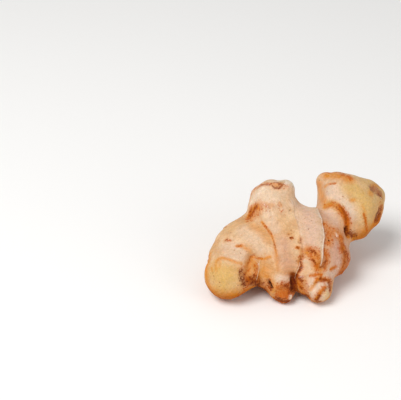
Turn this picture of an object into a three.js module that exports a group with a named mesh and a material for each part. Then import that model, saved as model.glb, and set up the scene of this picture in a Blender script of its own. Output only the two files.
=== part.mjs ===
// A fresh ginger root: one grown rhizome with a knobbly body, fingers, short buds and ring scars.
// Millimetres, +Z up. The root lies on a table at z = 0, and the origin is under its middle.
// Its front, where the two short buds point, faces -Y, and its longest finger points to +X.

import * as THREE from 'three';

const { clamp, smoothstep } = THREE.MathUtils;

// Driving dimensions
const ROOT_LENGTH = 96; // along X, from the rounded finger's side to the long finger's tip
const ROOT_DEPTH = 63; // along Y, from the rounded finger's tip to the back of the long finger
const ROOT_HEIGHT = 50; // from the table to the top of the stem stub
const FILLET = 2; // how softly one lobe runs into the next
const RING_STEP = 1; // how far the skin at a ring scar stands over the skin just past it
const RING_SWELL = 9; // distance in which the skin rises to a ring scar
const RING_DROP = 2.6; // distance in which it falls away past the scar
const RING_FADE = 5; // distance in which a ring scar dies out at its ends
const RING_WAVER = 0.6; // how far a ring scar strays from a plane
const WAVER_LENGTH = 22; // distance from one stray of a ring scar to the next
const LUMP_HEIGHT = 0.6; // gentle unevenness of the whole skin
const LUMP_LENGTH = 17; // distance from one lump to the next

// Fineness of the mesh
const MESH_CELL = 2; // spacing of the grid on which the skin is sampled
const MESH_ROOM = 6; // space kept round the root on that grid
const SPINE_STEPS = 16; // straight cones that stand for one lobe along its spine
const SETTLE_ROUNDS = 4; // times the mesh is evened out
const SETTLE_STEP = 0.5; // furthest that one round moves a vertex to bring it back to the skin
const SLOPE_REACH = 0.05; // distance over which the slope of the skin is measured
const PINCH_FILL = 0.01; // depth given to a grid point that is filled to keep the mesh from pinching

// The lobes: points on each lobe's spine with the lobe's radius there, as [x, y, z, radius].
const LOBES = {
  body: [[-15, -0.5, 22, 13], [-5, -0.5, 21.5, 17], [6.5, -4.5, 20, 18], [17, -8.5, 16, 10.5]],
  rounded_finger: [[-6, 6, 23, 12], [-18, 2, 20, 14], [-28, -6, 16.5, 15.5], [-35.6, -19, 12.3, 12.4]],
  stem_stub: [[-8, 2.5, 28, 12], [-12.5, 8, 37.5, 12.5]],
  long_finger: [[16, 2.5, 22, 7], [26.6, 13, 31, 14.6], [32.4, 13.5, 30.5, 13.2], [40.4, 21, 32.3, 7.5]],
  finger_crown: [[18.2, 23, 39.8, 6], [24.8, 19.2, 35.8, 11], [34.5, 19, 34.5, 9]],
  front_bud: [[-5, -5, 19, 14.5], [-10, -15.5, 12.5, 10.4], [-7.5, -24.8, 5, 5.2]],
  ringed_bud: [[5, -7, 18, 14], [6.8, -15, 14, 10.4], [10.8, -23.5, 6.8, 7.1]],
  heel: [[-3, 3, 19, 14], [3, 13, 13, 13], [11, 20, 10.7, 11.2]],
  back_bud: [[-17, 3, 18, 12], [-22, 16, 13, 9]],
};

// The ring scars that old scales have left. Each lies in a plane through a point inside the root, faces
// the way in which its lobe grew, and reaches so far from that point.
const RING_SCARS = [
  { at: [-14, -12, 27], facing: [-0.55, -0.67, 0.5], reach: 17 },
  { at: [-32, -9, 18], facing: [-0.62, -0.7, -0.35], reach: 20 },
  { at: [-35.5, -21.8, 14], facing: [-0.33, -0.94, 0], reach: 18 },
  { at: [-5.2, -10, 26], facing: [0.88, 0.39, -0.28], reach: 22 },
  { at: [7.5, -6, 24], facing: [0.93, 0.18, -0.32], reach: 23 },
  { at: [-13, 5.7, 39.8], facing: [-0.18, 0.49, 0.85], reach: 17 },
  { at: [-12.5, 11, 43.4], facing: [0.15, 0.91, 0.38], reach: 13 },
  { at: [30, 13, 31], facing: [0.95, 0.32, 0], reach: 19 },
  { at: [-8, -26, 6], facing: [0.17, -0.97, -0.19], reach: 9 },
  { at: [9, -25.3, 8], facing: [0, -1, -0.06], reach: 12 },
  { at: [7, 17, 12], facing: [0.75, 0.6, -0.2], reach: 17 },
  { at: [-20, 11, 15], facing: [-0.34, 0.88, -0.34], reach: 14 },
].map(({ at, facing, reach }) => ({
  at: new THREE.Vector3(...at),
  facing: new THREE.Vector3(...facing).normalize(),
  reach,
}));

// A lobe: a smooth spine thickened by a changing radius.
class Lobe {
  constructor(stations) {
    const smooth = (points) => new THREE.CatmullRomCurve3(points, false, 'catmullrom').getPoints(SPINE_STEPS);
    const centres = smooth(stations.map(([x, y, z]) => new THREE.Vector3(x, y, z)));
    const girths = smooth(stations.map(([, , , radius]) => new THREE.Vector3(radius, 0, 0)));
    this.cones = [];
    for (let i = 0; i < SPINE_STEPS; i++) {
      const length = centres[i].distanceTo(centres[i + 1]);
      this.cones.push({
        start: centres[i],
        heading: centres[i + 1].clone().sub(centres[i]).divideScalar(length),
        length,
        radius: girths[i].x,
        widening: (girths[i + 1].x - girths[i].x) / length,
      });
    }
  }

  // Distance from a point to the skin of this lobe, negative inside.
  distance(point) {
    let nearest = Infinity;
    for (const { start, heading, length, radius, widening } of this.cones) {
      const offset = point.clone().sub(start);
      const foot = clamp(offset.dot(heading), 0, length);
      const gap = offset.addScaledVector(heading, -foot).length() - radius - widening * foot;
      nearest = Math.min(nearest, gap);
    }
    return nearest;
  }
}

// Height of the skin over the plain lobes: it swells towards each ring scar and drops just past it.
function ringRelief(point) {
  const stray = RING_WAVER * waver(point);
  let height = 0;
  for (const { at, facing, reach } of RING_SCARS) {
    const offset = point.clone().sub(at);
    const place = offset.dot(facing) + stray;
    const swell = smoothstep(place, -RING_SWELL, 0);
    const drop = smoothstep(place, 0, RING_DROP);
    const fade = smoothstep(offset.length(), reach - RING_FADE, reach);
    height += RING_STEP * swell * (1 - drop) * (1 - fade);
  }
  return height;
}

// A slow wave over space, between -1 and 1, that bends the ring scars.
function waver({ x, y, z }) {
  const turn = (2 * Math.PI) / WAVER_LENGTH;
  return (Math.sin(turn * (x + z / 2)) + Math.sin(turn * (y - z) + 1)) / 2;
}

// Gentle lumps of the whole skin.
function lumps({ x, y, z }) {
  const turn = (2 * Math.PI) / LUMP_LENGTH;
  const across = Math.sin(turn * (x + 0.4 * z)) * Math.sin(turn * (y - 0.3 * x) + 0.8);
  return LUMP_HEIGHT * across * Math.cos(turn * z + 0.5);
}

const lobes = Object.values(LOBES).map((stations) => new Lobe(stations));

// Distance from a point to the skin of the whole root. The lobes run into each other with soft fillets.
function skinDistance(point) {
  let sum = 0;
  for (const lobe of lobes) sum += Math.exp(-lobe.distance(point) / FILLET);
  return -FILLET * Math.log(sum) - ringRelief(point) - lumps(point);
}

// Direction in which the distance to the skin grows.
function skinSlope(point) {
  const slope = ['x', 'y', 'z'].map((axis) => {
    const ahead = point.clone();
    const behind = point.clone();
    ahead[axis] += SLOPE_REACH;
    behind[axis] -= SLOPE_REACH;
    return (skinDistance(ahead) - skinDistance(behind)) / (2 * SLOPE_REACH);
  });
  return new THREE.Vector3(...slope);
}

function forEachPoint([nx, ny, nz], visit) {
  for (let k = 0; k < nz; k++) for (let j = 0; j < ny; j++) for (let i = 0; i < nx; i++) visit(i, j, k);
}

// Meshes the zero level of a distance: one vertex in each grid cell that the skin crosses,
// and one quad round each grid edge that it crosses.
function surfaceNet(distance, box) {
  const size = box.getSize(new THREE.Vector3());
  const count = size.toArray().map((length) => Math.ceil(length / MESH_CELL) + 1);
  const stride = [1, count[0], count[0] * count[1]];
  const at = (i, j, k) => i * stride[0] + j * stride[1] + k * stride[2];
  const place = (i, j, k) => new THREE.Vector3(i, j, k).multiplyScalar(MESH_CELL).add(box.min);
  const values = new Float64Array(count[0] * count[1] * count[2]);
  forEachPoint(count, (i, j, k) => {
    values[at(i, j, k)] = distance(place(i, j, k));
  });
  fillPinches(values, count, stride);

  const corners = [0, 1, 2, 3, 4, 5, 6, 7].map((n) => [n & 1, (n >> 1) & 1, (n >> 2) & 1]);
  const vertices = [];
  const vertexOf = new Map();
  forEachPoint(count.map((n) => n - 1), (i, j, k) => {
    const crossings = [];
    corners.forEach(([a, b, c], n) => {
      for (const bit of [1, 2, 4]) {
        if (n & bit) continue;
        const [d, e, f] = corners[n | bit];
        const here = values[at(i + a, j + b, k + c)];
        const there = values[at(i + d, j + e, k + f)];
        if (here < 0 === there < 0) continue;
        crossings.push(place(i + a, j + b, k + c).lerp(place(i + d, j + e, k + f), here / (here - there)));
      }
    });
    if (!crossings.length) return;
    vertexOf.set(at(i, j, k), vertices.length);
    vertices.push(crossings.reduce((sum, p) => sum.add(p), new THREE.Vector3()).divideScalar(crossings.length));
  });

  const quads = [];
  forEachPoint(count, (i, j, k) => {
    const start = at(i, j, k);
    [0, 1, 2].forEach((axis) => {
      const end = start + stride[axis];
      if ([i, j, k][axis] + 1 >= count[axis] || values[start] < 0 === values[end] < 0) return;
      const u = stride[(axis + 1) % 3];
      const v = stride[(axis + 2) % 3];
      const ring = [start - u - v, start - v, start, start - u].map((n) => vertexOf.get(n));
      quads.push(values[start] < 0 ? ring : ring.reverse());
    });
  });
  return { vertices, quads };
}

// Fills the grid points at which the net would pinch. Where the skin crosses a square of the grid in two strips,
// the shallower of the two outer corners goes inside.
function fillPinches(values, count, stride) {
  let filled = true;
  while (filled) {
    filled = false;
    forEachPoint(count, (...index) => {
      const start = index[0] * stride[0] + index[1] * stride[1] + index[2] * stride[2];
      [[0, 1], [1, 2], [2, 0]].forEach(([u, v]) => {
        if (index[u] + 1 >= count[u] || index[v] + 1 >= count[v]) return;
        const diagonals = [[start, start + stride[u] + stride[v]], [start + stride[u], start + stride[v]]];
        const outer = diagonals.filter((pair) => pair.every((n) => values[n] >= 0));
        const inner = diagonals.filter((pair) => pair.every((n) => values[n] < 0));
        if (outer.length !== 1 || inner.length !== 1) return;
        const [first, second] = outer[0];
        values[values[first] < values[second] ? first : second] = -PINCH_FILL;
        filled = true;
      });
    });
  }
}

// Evens out the net: each vertex drifts half way to the middle of its neighbours and returns to the skin.
function settle({ vertices, quads }) {
  const neighbours = vertices.map(() => new Set());
  for (const quad of quads) {
    quad.forEach((v, n) => {
      neighbours[v].add(quad[(n + 1) % 4]).add(quad[(n + 3) % 4]);
    });
  }
  for (let round = 0; round < SETTLE_ROUNDS; round++) {
    const middles = neighbours.map((set) => {
      const middle = new THREE.Vector3();
      for (const n of set) middle.add(vertices[n]);
      return middle.divideScalar(set.size);
    });
    vertices.forEach((vertex, n) => {
      vertex.lerp(middles[n], 0.5);
      const slope = skinSlope(vertex);
      const step = clamp(-skinDistance(vertex) / slope.lengthSq(), -SETTLE_STEP, SETTLE_STEP);
      vertex.addScaledVector(slope, step);
    });
  }
}

// The net as triangles, each quad split along its shorter diagonal.
function netGeometry({ vertices, quads }) {
  const triangles = quads.flatMap(([a, b, c, d]) => {
    const first = vertices[a].distanceToSquared(vertices[c]);
    const second = vertices[b].distanceToSquared(vertices[d]);
    return first < second ? [a, b, c, a, c, d] : [a, b, d, b, c, d];
  });
  const geometry = new THREE.BufferGeometry().setFromPoints(vertices).setIndex(triangles);
  geometry.computeVertexNormals();
  return geometry;
}

// The root, pressed flat where its lowest lobes meet the table.
function makeRhizome() {
  const reach = new THREE.Vector3(ROOT_LENGTH, ROOT_DEPTH, ROOT_HEIGHT).divideScalar(2).addScalar(MESH_ROOM);
  const middle = new THREE.Vector3(0, 0, ROOT_HEIGHT / 2);
  const box = new THREE.Box3(middle.clone().sub(reach), middle.clone().add(reach));
  const net = surfaceNet(skinDistance, box);
  settle(net);
  for (const vertex of net.vertices) vertex.z = Math.max(vertex.z, 0);
  return netGeometry(net);
}

const skin = new THREE.MeshStandardMaterial({ color: 0xdfb088, roughness: 0.55, metalness: 0 });
const rhizome = new THREE.Mesh(makeRhizome(), skin);
rhizome.name = 'rhizome';

const root = new THREE.Group();
root.add(rhizome);

export default root;
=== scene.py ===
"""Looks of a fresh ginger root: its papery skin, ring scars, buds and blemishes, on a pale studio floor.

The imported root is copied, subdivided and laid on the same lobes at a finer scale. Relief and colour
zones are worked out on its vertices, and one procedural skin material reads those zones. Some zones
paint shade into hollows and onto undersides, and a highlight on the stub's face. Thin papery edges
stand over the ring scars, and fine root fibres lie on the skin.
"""

import logging
import math
from dataclasses import dataclass, field
from enum import Enum
from functools import partial
from itertools import product
from typing import ClassVar

import bpy
import numpy as np
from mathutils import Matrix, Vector
from mathutils.bvhtree import BVHTree


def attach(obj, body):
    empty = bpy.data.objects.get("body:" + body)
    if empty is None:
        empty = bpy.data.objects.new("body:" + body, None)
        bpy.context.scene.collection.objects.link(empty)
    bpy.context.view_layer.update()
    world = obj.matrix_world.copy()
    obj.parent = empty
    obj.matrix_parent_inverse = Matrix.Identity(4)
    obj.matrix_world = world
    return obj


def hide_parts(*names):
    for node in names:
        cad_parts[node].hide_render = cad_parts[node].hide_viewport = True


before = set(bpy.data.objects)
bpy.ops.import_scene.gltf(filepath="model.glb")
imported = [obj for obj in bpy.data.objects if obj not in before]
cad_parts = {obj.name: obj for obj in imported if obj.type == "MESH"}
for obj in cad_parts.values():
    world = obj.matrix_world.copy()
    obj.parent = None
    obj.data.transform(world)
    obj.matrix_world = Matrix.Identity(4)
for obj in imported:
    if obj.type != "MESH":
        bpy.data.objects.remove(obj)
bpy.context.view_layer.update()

LOG = logging.getLogger("ginger_root")
MM = 0.001
TINY = 1e-9
QUAD_CORNERS = 4
GOLDEN_ANGLE = math.pi * (3 - math.sqrt(5))

# A fixed scatter of values is a hash of whole numbers, made with these odd factors and shifts.
HASH_STEPS = np.array((374761393, 668265263, 1440662683))
HASH_SEED_STEP = 97931
HASH_FACTOR = 1274126177
HASH_SHIFTS = (13, 16)
HASH_MASK = 0xFFFFFFFF
HASH_HALF = 2**31
SEED_SHIFT = 0.37

# Kinds of a group's inputs, and where a mix node has its inputs and its result for colours.
FLOAT = "NodeSocketFloat"
VECTOR = "NodeSocketVector"
MIX_INPUTS = (0, 6, 7)
MIX_RESULT = 2
NOISE_MIDDLE = 0.5

Points = np.ndarray
Values = np.ndarray
Place = tuple[float, ...]
Path = tuple[Place, ...]
Colour = tuple[float, float, float, float]
Socket = bpy.types.NodeSocket
Sockets = dict[str, Socket]
Feed = Socket | float | tuple
# From low and high, to what they become if that isn't 0 and 1.
Change = tuple[float, ...]


def srgb(red: int, green: int, blue: int) -> Colour:
    """The linear colour of an sRGB value from 0 to 255."""
    def linear(level: float) -> float:
        """One channel, from 0 to 1, as light."""
        return level / 12.92 if level <= 0.04045 else ((level + 0.055) / 1.055) ** 2.4

    return (linear(red / 255), linear(green / 255), linear(blue / 255), 1.0)


def smoothstep(values: Values, low: float, high: float) -> Values:
    """A soft rise from 0 at low to 1 at high."""
    share = np.clip((values - low) / (high - low), 0, 1)
    return share * share * (3 - 2 * share)


def lattice(index: np.ndarray, seed: int) -> Values:
    """A fixed scatter of values from -1 to 1 on whole-numbered points of space.

    Args:
        index: Whole numbers, one row of three for each point.
        seed: Which scatter.

    Returns:
        One value for each row.
    """
    first, last = HASH_SHIFTS
    mixed = (index @ HASH_STEPS + seed * HASH_SEED_STEP) & HASH_MASK
    mixed = ((mixed ^ (mixed >> first)) * HASH_FACTOR) & HASH_MASK
    return (mixed ^ (mixed >> last)) / HASH_HALF - 1


def unevenness(points: Points, length: float, seed: int) -> Values:
    """Smooth noise over space.

    Args:
        points: Places in millimetres.
        length: Distance from one hump to the next, in millimetres.
        seed: Which noise.

    Returns:
        Values from -1 to 1, one for each point.
    """
    cell = points / length + SEED_SHIFT * seed
    base = np.floor(cell).astype(np.int64)
    share = smoothstep(cell - base, 0, 1)
    total = np.zeros(len(points))
    for corner in product((0, 1), repeat=3):
        weight = np.prod(np.where(corner, share, 1 - share), axis=1)
        total += weight * lattice(base + np.array(corner), seed)
    return total


def stored(items: bpy.types.bpy_prop_collection, name: str, width: int, kind: type = float) -> np.ndarray:
    """One property of many mesh items.

    Args:
        items: Vertices, edges, faces or an attribute's values.
        name: The property.
        width: How many numbers it has.
        kind: What numbers they are.

    Returns:
        One row for each item.
    """
    values = np.empty(len(items) * width, kind)
    items.foreach_get(name, values)
    return values.reshape(-1, width)


def store(mesh: bpy.types.Mesh, name: str, values: Values) -> None:
    """Stores one value for each vertex under a name."""
    layer = mesh.attributes.new(name, "FLOAT", "POINT")
    layer.data.foreach_set("value", values.astype(np.float32))


def bring_in(piece: bpy.types.Object) -> None:
    """Links a new object to the scene and makes it the only one selected."""
    bpy.ops.object.select_all(action="DESELECT")
    bpy.context.scene.collection.objects.link(piece)
    bpy.context.view_layer.objects.active = piece
    piece.select_set(True)


class LobeName(Enum):
    """The lobes that the root grew from."""

    BODY = "body"
    ROUNDED_FINGER = "rounded finger"
    STEM_STUB = "stem stub"
    LONG_FINGER = "long finger"
    FINGER_CROWN = "finger crown"
    FRONT_BUD = "front bud"
    RINGED_BUD = "ringed bud"
    HEEL = "heel"
    BACK_BUD = "back bud"


class RingLook(Enum):
    """How strongly the edge of an old scale is drawn in brown."""

    BROWN = 1.0
    FAINT = 0.45
    PAPERY = 0.15
    BARE = 0.0


class Zone(Enum):
    """Colour zones of the skin, each stored on the vertices under its name."""

    # Cream is pale skin, and also a painted highlight on the stub's face.
    CREAM = "cream"
    PALE = "pale"
    BLUSH = "blush"
    SAND = "sand"
    WAX = "wax"
    # Amber is the skin's orange, and also painted shade in hollows and on undersides.
    AMBER = "amber"
    # Painted shade in brown, in hollows, gaps and on undersides.
    PAINTED_SHADE_BROWN = "painted_shade_brown"
    RUST = "rust"
    LINE = "line"
    SCAR = "scar"
    # A real bruise, and also painted shadow deep in gaps and the crotch.
    BRUISE_AND_SHADOW = "bruise"
    CALLUS = "callus"
    PAPER = "paper"
    PIT = "pit"
    SPECKLE = "speckle"


SOFT_ZONES = (Zone.CREAM, Zone.PALE, Zone.BLUSH, Zone.SAND, Zone.WAX, Zone.AMBER, Zone.PAINTED_SHADE_BROWN, Zone.SPECKLE)
HALO_ZONES = (Zone.LINE, Zone.SCAR, Zone.BRUISE_AND_SHADOW, Zone.PIT)
# Cream and pale marks clear the amber and the painted shade that lie under them.
CLEAN_ZONES = (Zone.CREAM, Zone.PALE)
AMBER_AND_SHADE_ZONES = (Zone.AMBER, Zone.PAINTED_SHADE_BROWN)


@dataclass(frozen=True)
class RingScar:
    """The scar of an old scale: a line where a plane cuts the skin, in millimetres.

    The skin steps down past it, and a papery lip of the old scale may stand over the step.
    """

    at: tuple[float, float, float]
    facing: tuple[float, float, float]
    reach: float
    step: float
    look: RingLook = RingLook.BROWN
    lip: float = 0.0

    @property
    def normal(self) -> Values:
        """The way it faces, one long."""
        return np.array(self.facing) / np.linalg.norm(self.facing)


@dataclass(frozen=True)
class Mark:
    """A blemish along a short path on the skin. Its amount is from 0, unseen, to 1, full.

    A place on the path is a pixel of the photograph's frame if it has two numbers, and a point in
    millimetres if it has three. The radius is in millimetres.
    """

    zone: Zone
    amount: float
    radius: float
    path: Path


@dataclass(frozen=True)
class Fold:
    """A soft fold along a path on the skin, in millimetres.

    The skin sinks by its depth, or stands out if that is below 0.
    """

    depth: float
    radius: float
    path: Path


# Each lobe's spine: X, Y, Z and radius at its stations, in millimetres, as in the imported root.
LOBES = {
    LobeName.BODY: ((-15, -0.5, 22, 13), (-5, -0.5, 21.5, 17), (6.5, -4.5, 20, 18), (17, -8.5, 16, 10.5)),
    LobeName.ROUNDED_FINGER: (
        (-6, 6, 23, 12), (-18, 2, 20, 14), (-28, -6, 16.5, 15.5), (-35.6, -19, 12.3, 12.4)),
    LobeName.STEM_STUB: ((-8, 2.5, 28, 12), (-12.5, 8, 37.5, 12.5)),
    LobeName.LONG_FINGER: (
        (16, 2.5, 22, 7), (26.6, 13, 31, 14.6), (32.4, 13.5, 30.5, 13.2), (40.4, 21, 32.3, 7.5)),
    LobeName.FINGER_CROWN: ((18.2, 23, 39.8, 6), (24.8, 19.2, 35.8, 11), (34.5, 19, 34.5, 9)),
    LobeName.FRONT_BUD: ((-5, -5, 19, 14.5), (-10, -15.5, 12.5, 10.4), (-7.5, -24.8, 5, 5.2)),
    LobeName.RINGED_BUD: ((5, -7, 18, 14), (6.8, -15, 14, 10.4), (10.8, -23.5, 6.8, 7.1)),
    LobeName.HEEL: ((-3, 3, 19, 14), (3, 13, 13, 13), (11, 20, 10.7, 11.2)),
    LobeName.BACK_BUD: ((-17, 3, 18, 12), (-22, 16, 13, 9)),
}

FIRST_BODY_RING = RingScar((-14.1, -12.9, 31.2), (-0.64, -0.66, 0.4), 14, 0.5, RingLook.BARE)
FINGER_RING = RingScar((-29, -16.3, 28), (-0.56, -0.77, -0.31), 12, 0.4, RingLook.BARE)
FINGER_TIP_RING = RingScar((-36, -22.6, 24.7), (-0.31, -0.94, 0.14), 13, 0.3, RingLook.BARE)
SECOND_BODY_RING = RingScar((0, -17, 30), (0.95, 0.25, -0.1), 25, 0.4, RingLook.PAPERY)
PAPERY_RING = RingScar((11, -11, 33.6), (0.96, 0.17, -0.23), 19.5, 1.0, RingLook.PAPERY, lip=0.8)
STUB_RING = RingScar((-13, 5.7, 39.8), (-0.18, 0.49, 0.85), 17, 0.15, RingLook.BARE)
STUB_TOP_RING = RingScar((-12.5, 11, 43.4), (0.15, 0.91, 0.38), 13, 0.5, RingLook.FAINT)
STUB_FLAG_RING = RingScar((-5, 9.5, 47.5), (0.35, 0.6, 0.72), 8.5, 0.7, RingLook.PAPERY, lip=1.5)
LONG_FINGER_RING = RingScar((35.6, 0.3, 31.6), (0.86, 0.43, 0.28), 13, 0.4, RingLook.BARE)
FRONT_BUD_RING = RingScar((-8, -26, 6), (0.17, -0.97, -0.19), 9, 0.8, RingLook.BARE)
RINGED_BUD_RING = RingScar((13.5, -26, 15), (0.25, -0.9, -0.35), 9, 0.6, RingLook.FAINT)
RINGED_BUD_SCALE = RingScar((7.3, -27.6, 13), (0.79, -0.6, -0.33), 7.5, 0.6, RingLook.BARE)
RINGED_BUD_CORE = RingScar((10.8, -30.2, 9.3), (0.79, -0.6, -0.33), 8, 0.9, RingLook.BARE)
HEEL_RING = RingScar((7, 17, 12), (0.75, 0.6, -0.2), 17, 0.8, lip=0.8)
BACK_BUD_RING = RingScar((-20, 11, 15), (-0.34, 0.88, -0.34), 14, 0.8, lip=0.6)
HEEL_TIP_RING = RingScar((15, 29, 9), (0.7, 0.68, -0.2), 11, 0.5)
BACK_BUD_TIP_RING = RingScar((-24, 21, 14), (-0.34, 0.88, -0.34), 9, 0.4, RingLook.FAINT)
FINGER_BACK_RING = RingScar((-37, 6, 15), (-0.62, -0.74, -0.25), 17, 0.5)
FINGER_SIDE_RING = RingScar((-46, -10, 12), (-0.5, -0.85, -0.2), 13, 0.4, RingLook.FAINT)
STUB_BACK_RING = RingScar((-14, 19, 35), (-0.38, 0.46, 0.8), 14, 0.5)
LONG_FINGER_BACK_RING = RingScar((28, 28, 30), (0.86, 0.43, 0.28), 16, 0.5)
LONG_FINGER_TIP_RING = RingScar((38, 26, 32), (0.8, 0.5, 0.3), 12, 0.4, RingLook.FAINT)
BODY_BACK_RING = RingScar((-6, 17, 22), (0.9, 0.4, -0.2), 15, 0.5)
RING_SCARS = (
    FIRST_BODY_RING, FINGER_RING, FINGER_TIP_RING, SECOND_BODY_RING, PAPERY_RING, STUB_RING, STUB_TOP_RING,
    STUB_FLAG_RING, LONG_FINGER_RING, FRONT_BUD_RING, RINGED_BUD_RING, RINGED_BUD_SCALE, RINGED_BUD_CORE,
    HEEL_RING, BACK_BUD_RING, HEEL_TIP_RING, BACK_BUD_TIP_RING, FINGER_BACK_RING, FINGER_SIDE_RING,
    STUB_BACK_RING, LONG_FINGER_BACK_RING, LONG_FINGER_TIP_RING, BODY_BACK_RING,
)

# Paths in pixels of the photograph's frame, which several marks and folds follow.
FIRST_RING = ((262, 222), (266, 227.2), (269.6, 231.8), (272.3, 237), (274.8, 244), (276, 251), (277, 256))
CRACK = (
    (301.8, 240), (301.7, 250), (301.7, 257), (299.8, 261.5),
    (301.3, 267), (299, 271.5), (296.5, 276), (294, 285),
)
STUB_EYE = ((271, 183.5), (274, 186.5), (278, 188), (281.5, 186), (279, 183.5), (274, 182.5))
FINGER_CREASE = ((329, 203), (339, 207.6), (345.5, 215.4), (348, 224.6), (347.5, 235))
SCALE_STEP = ((317, 279.5), (314.5, 284.5), (310, 289))
BULGE_EDGE = ((342.5, 247), (344.5, 254), (345, 261), (344, 268), (342, 274))
CORE_STEP = ((325, 287.6), (320.5, 293), (316.7, 298.5))
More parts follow.
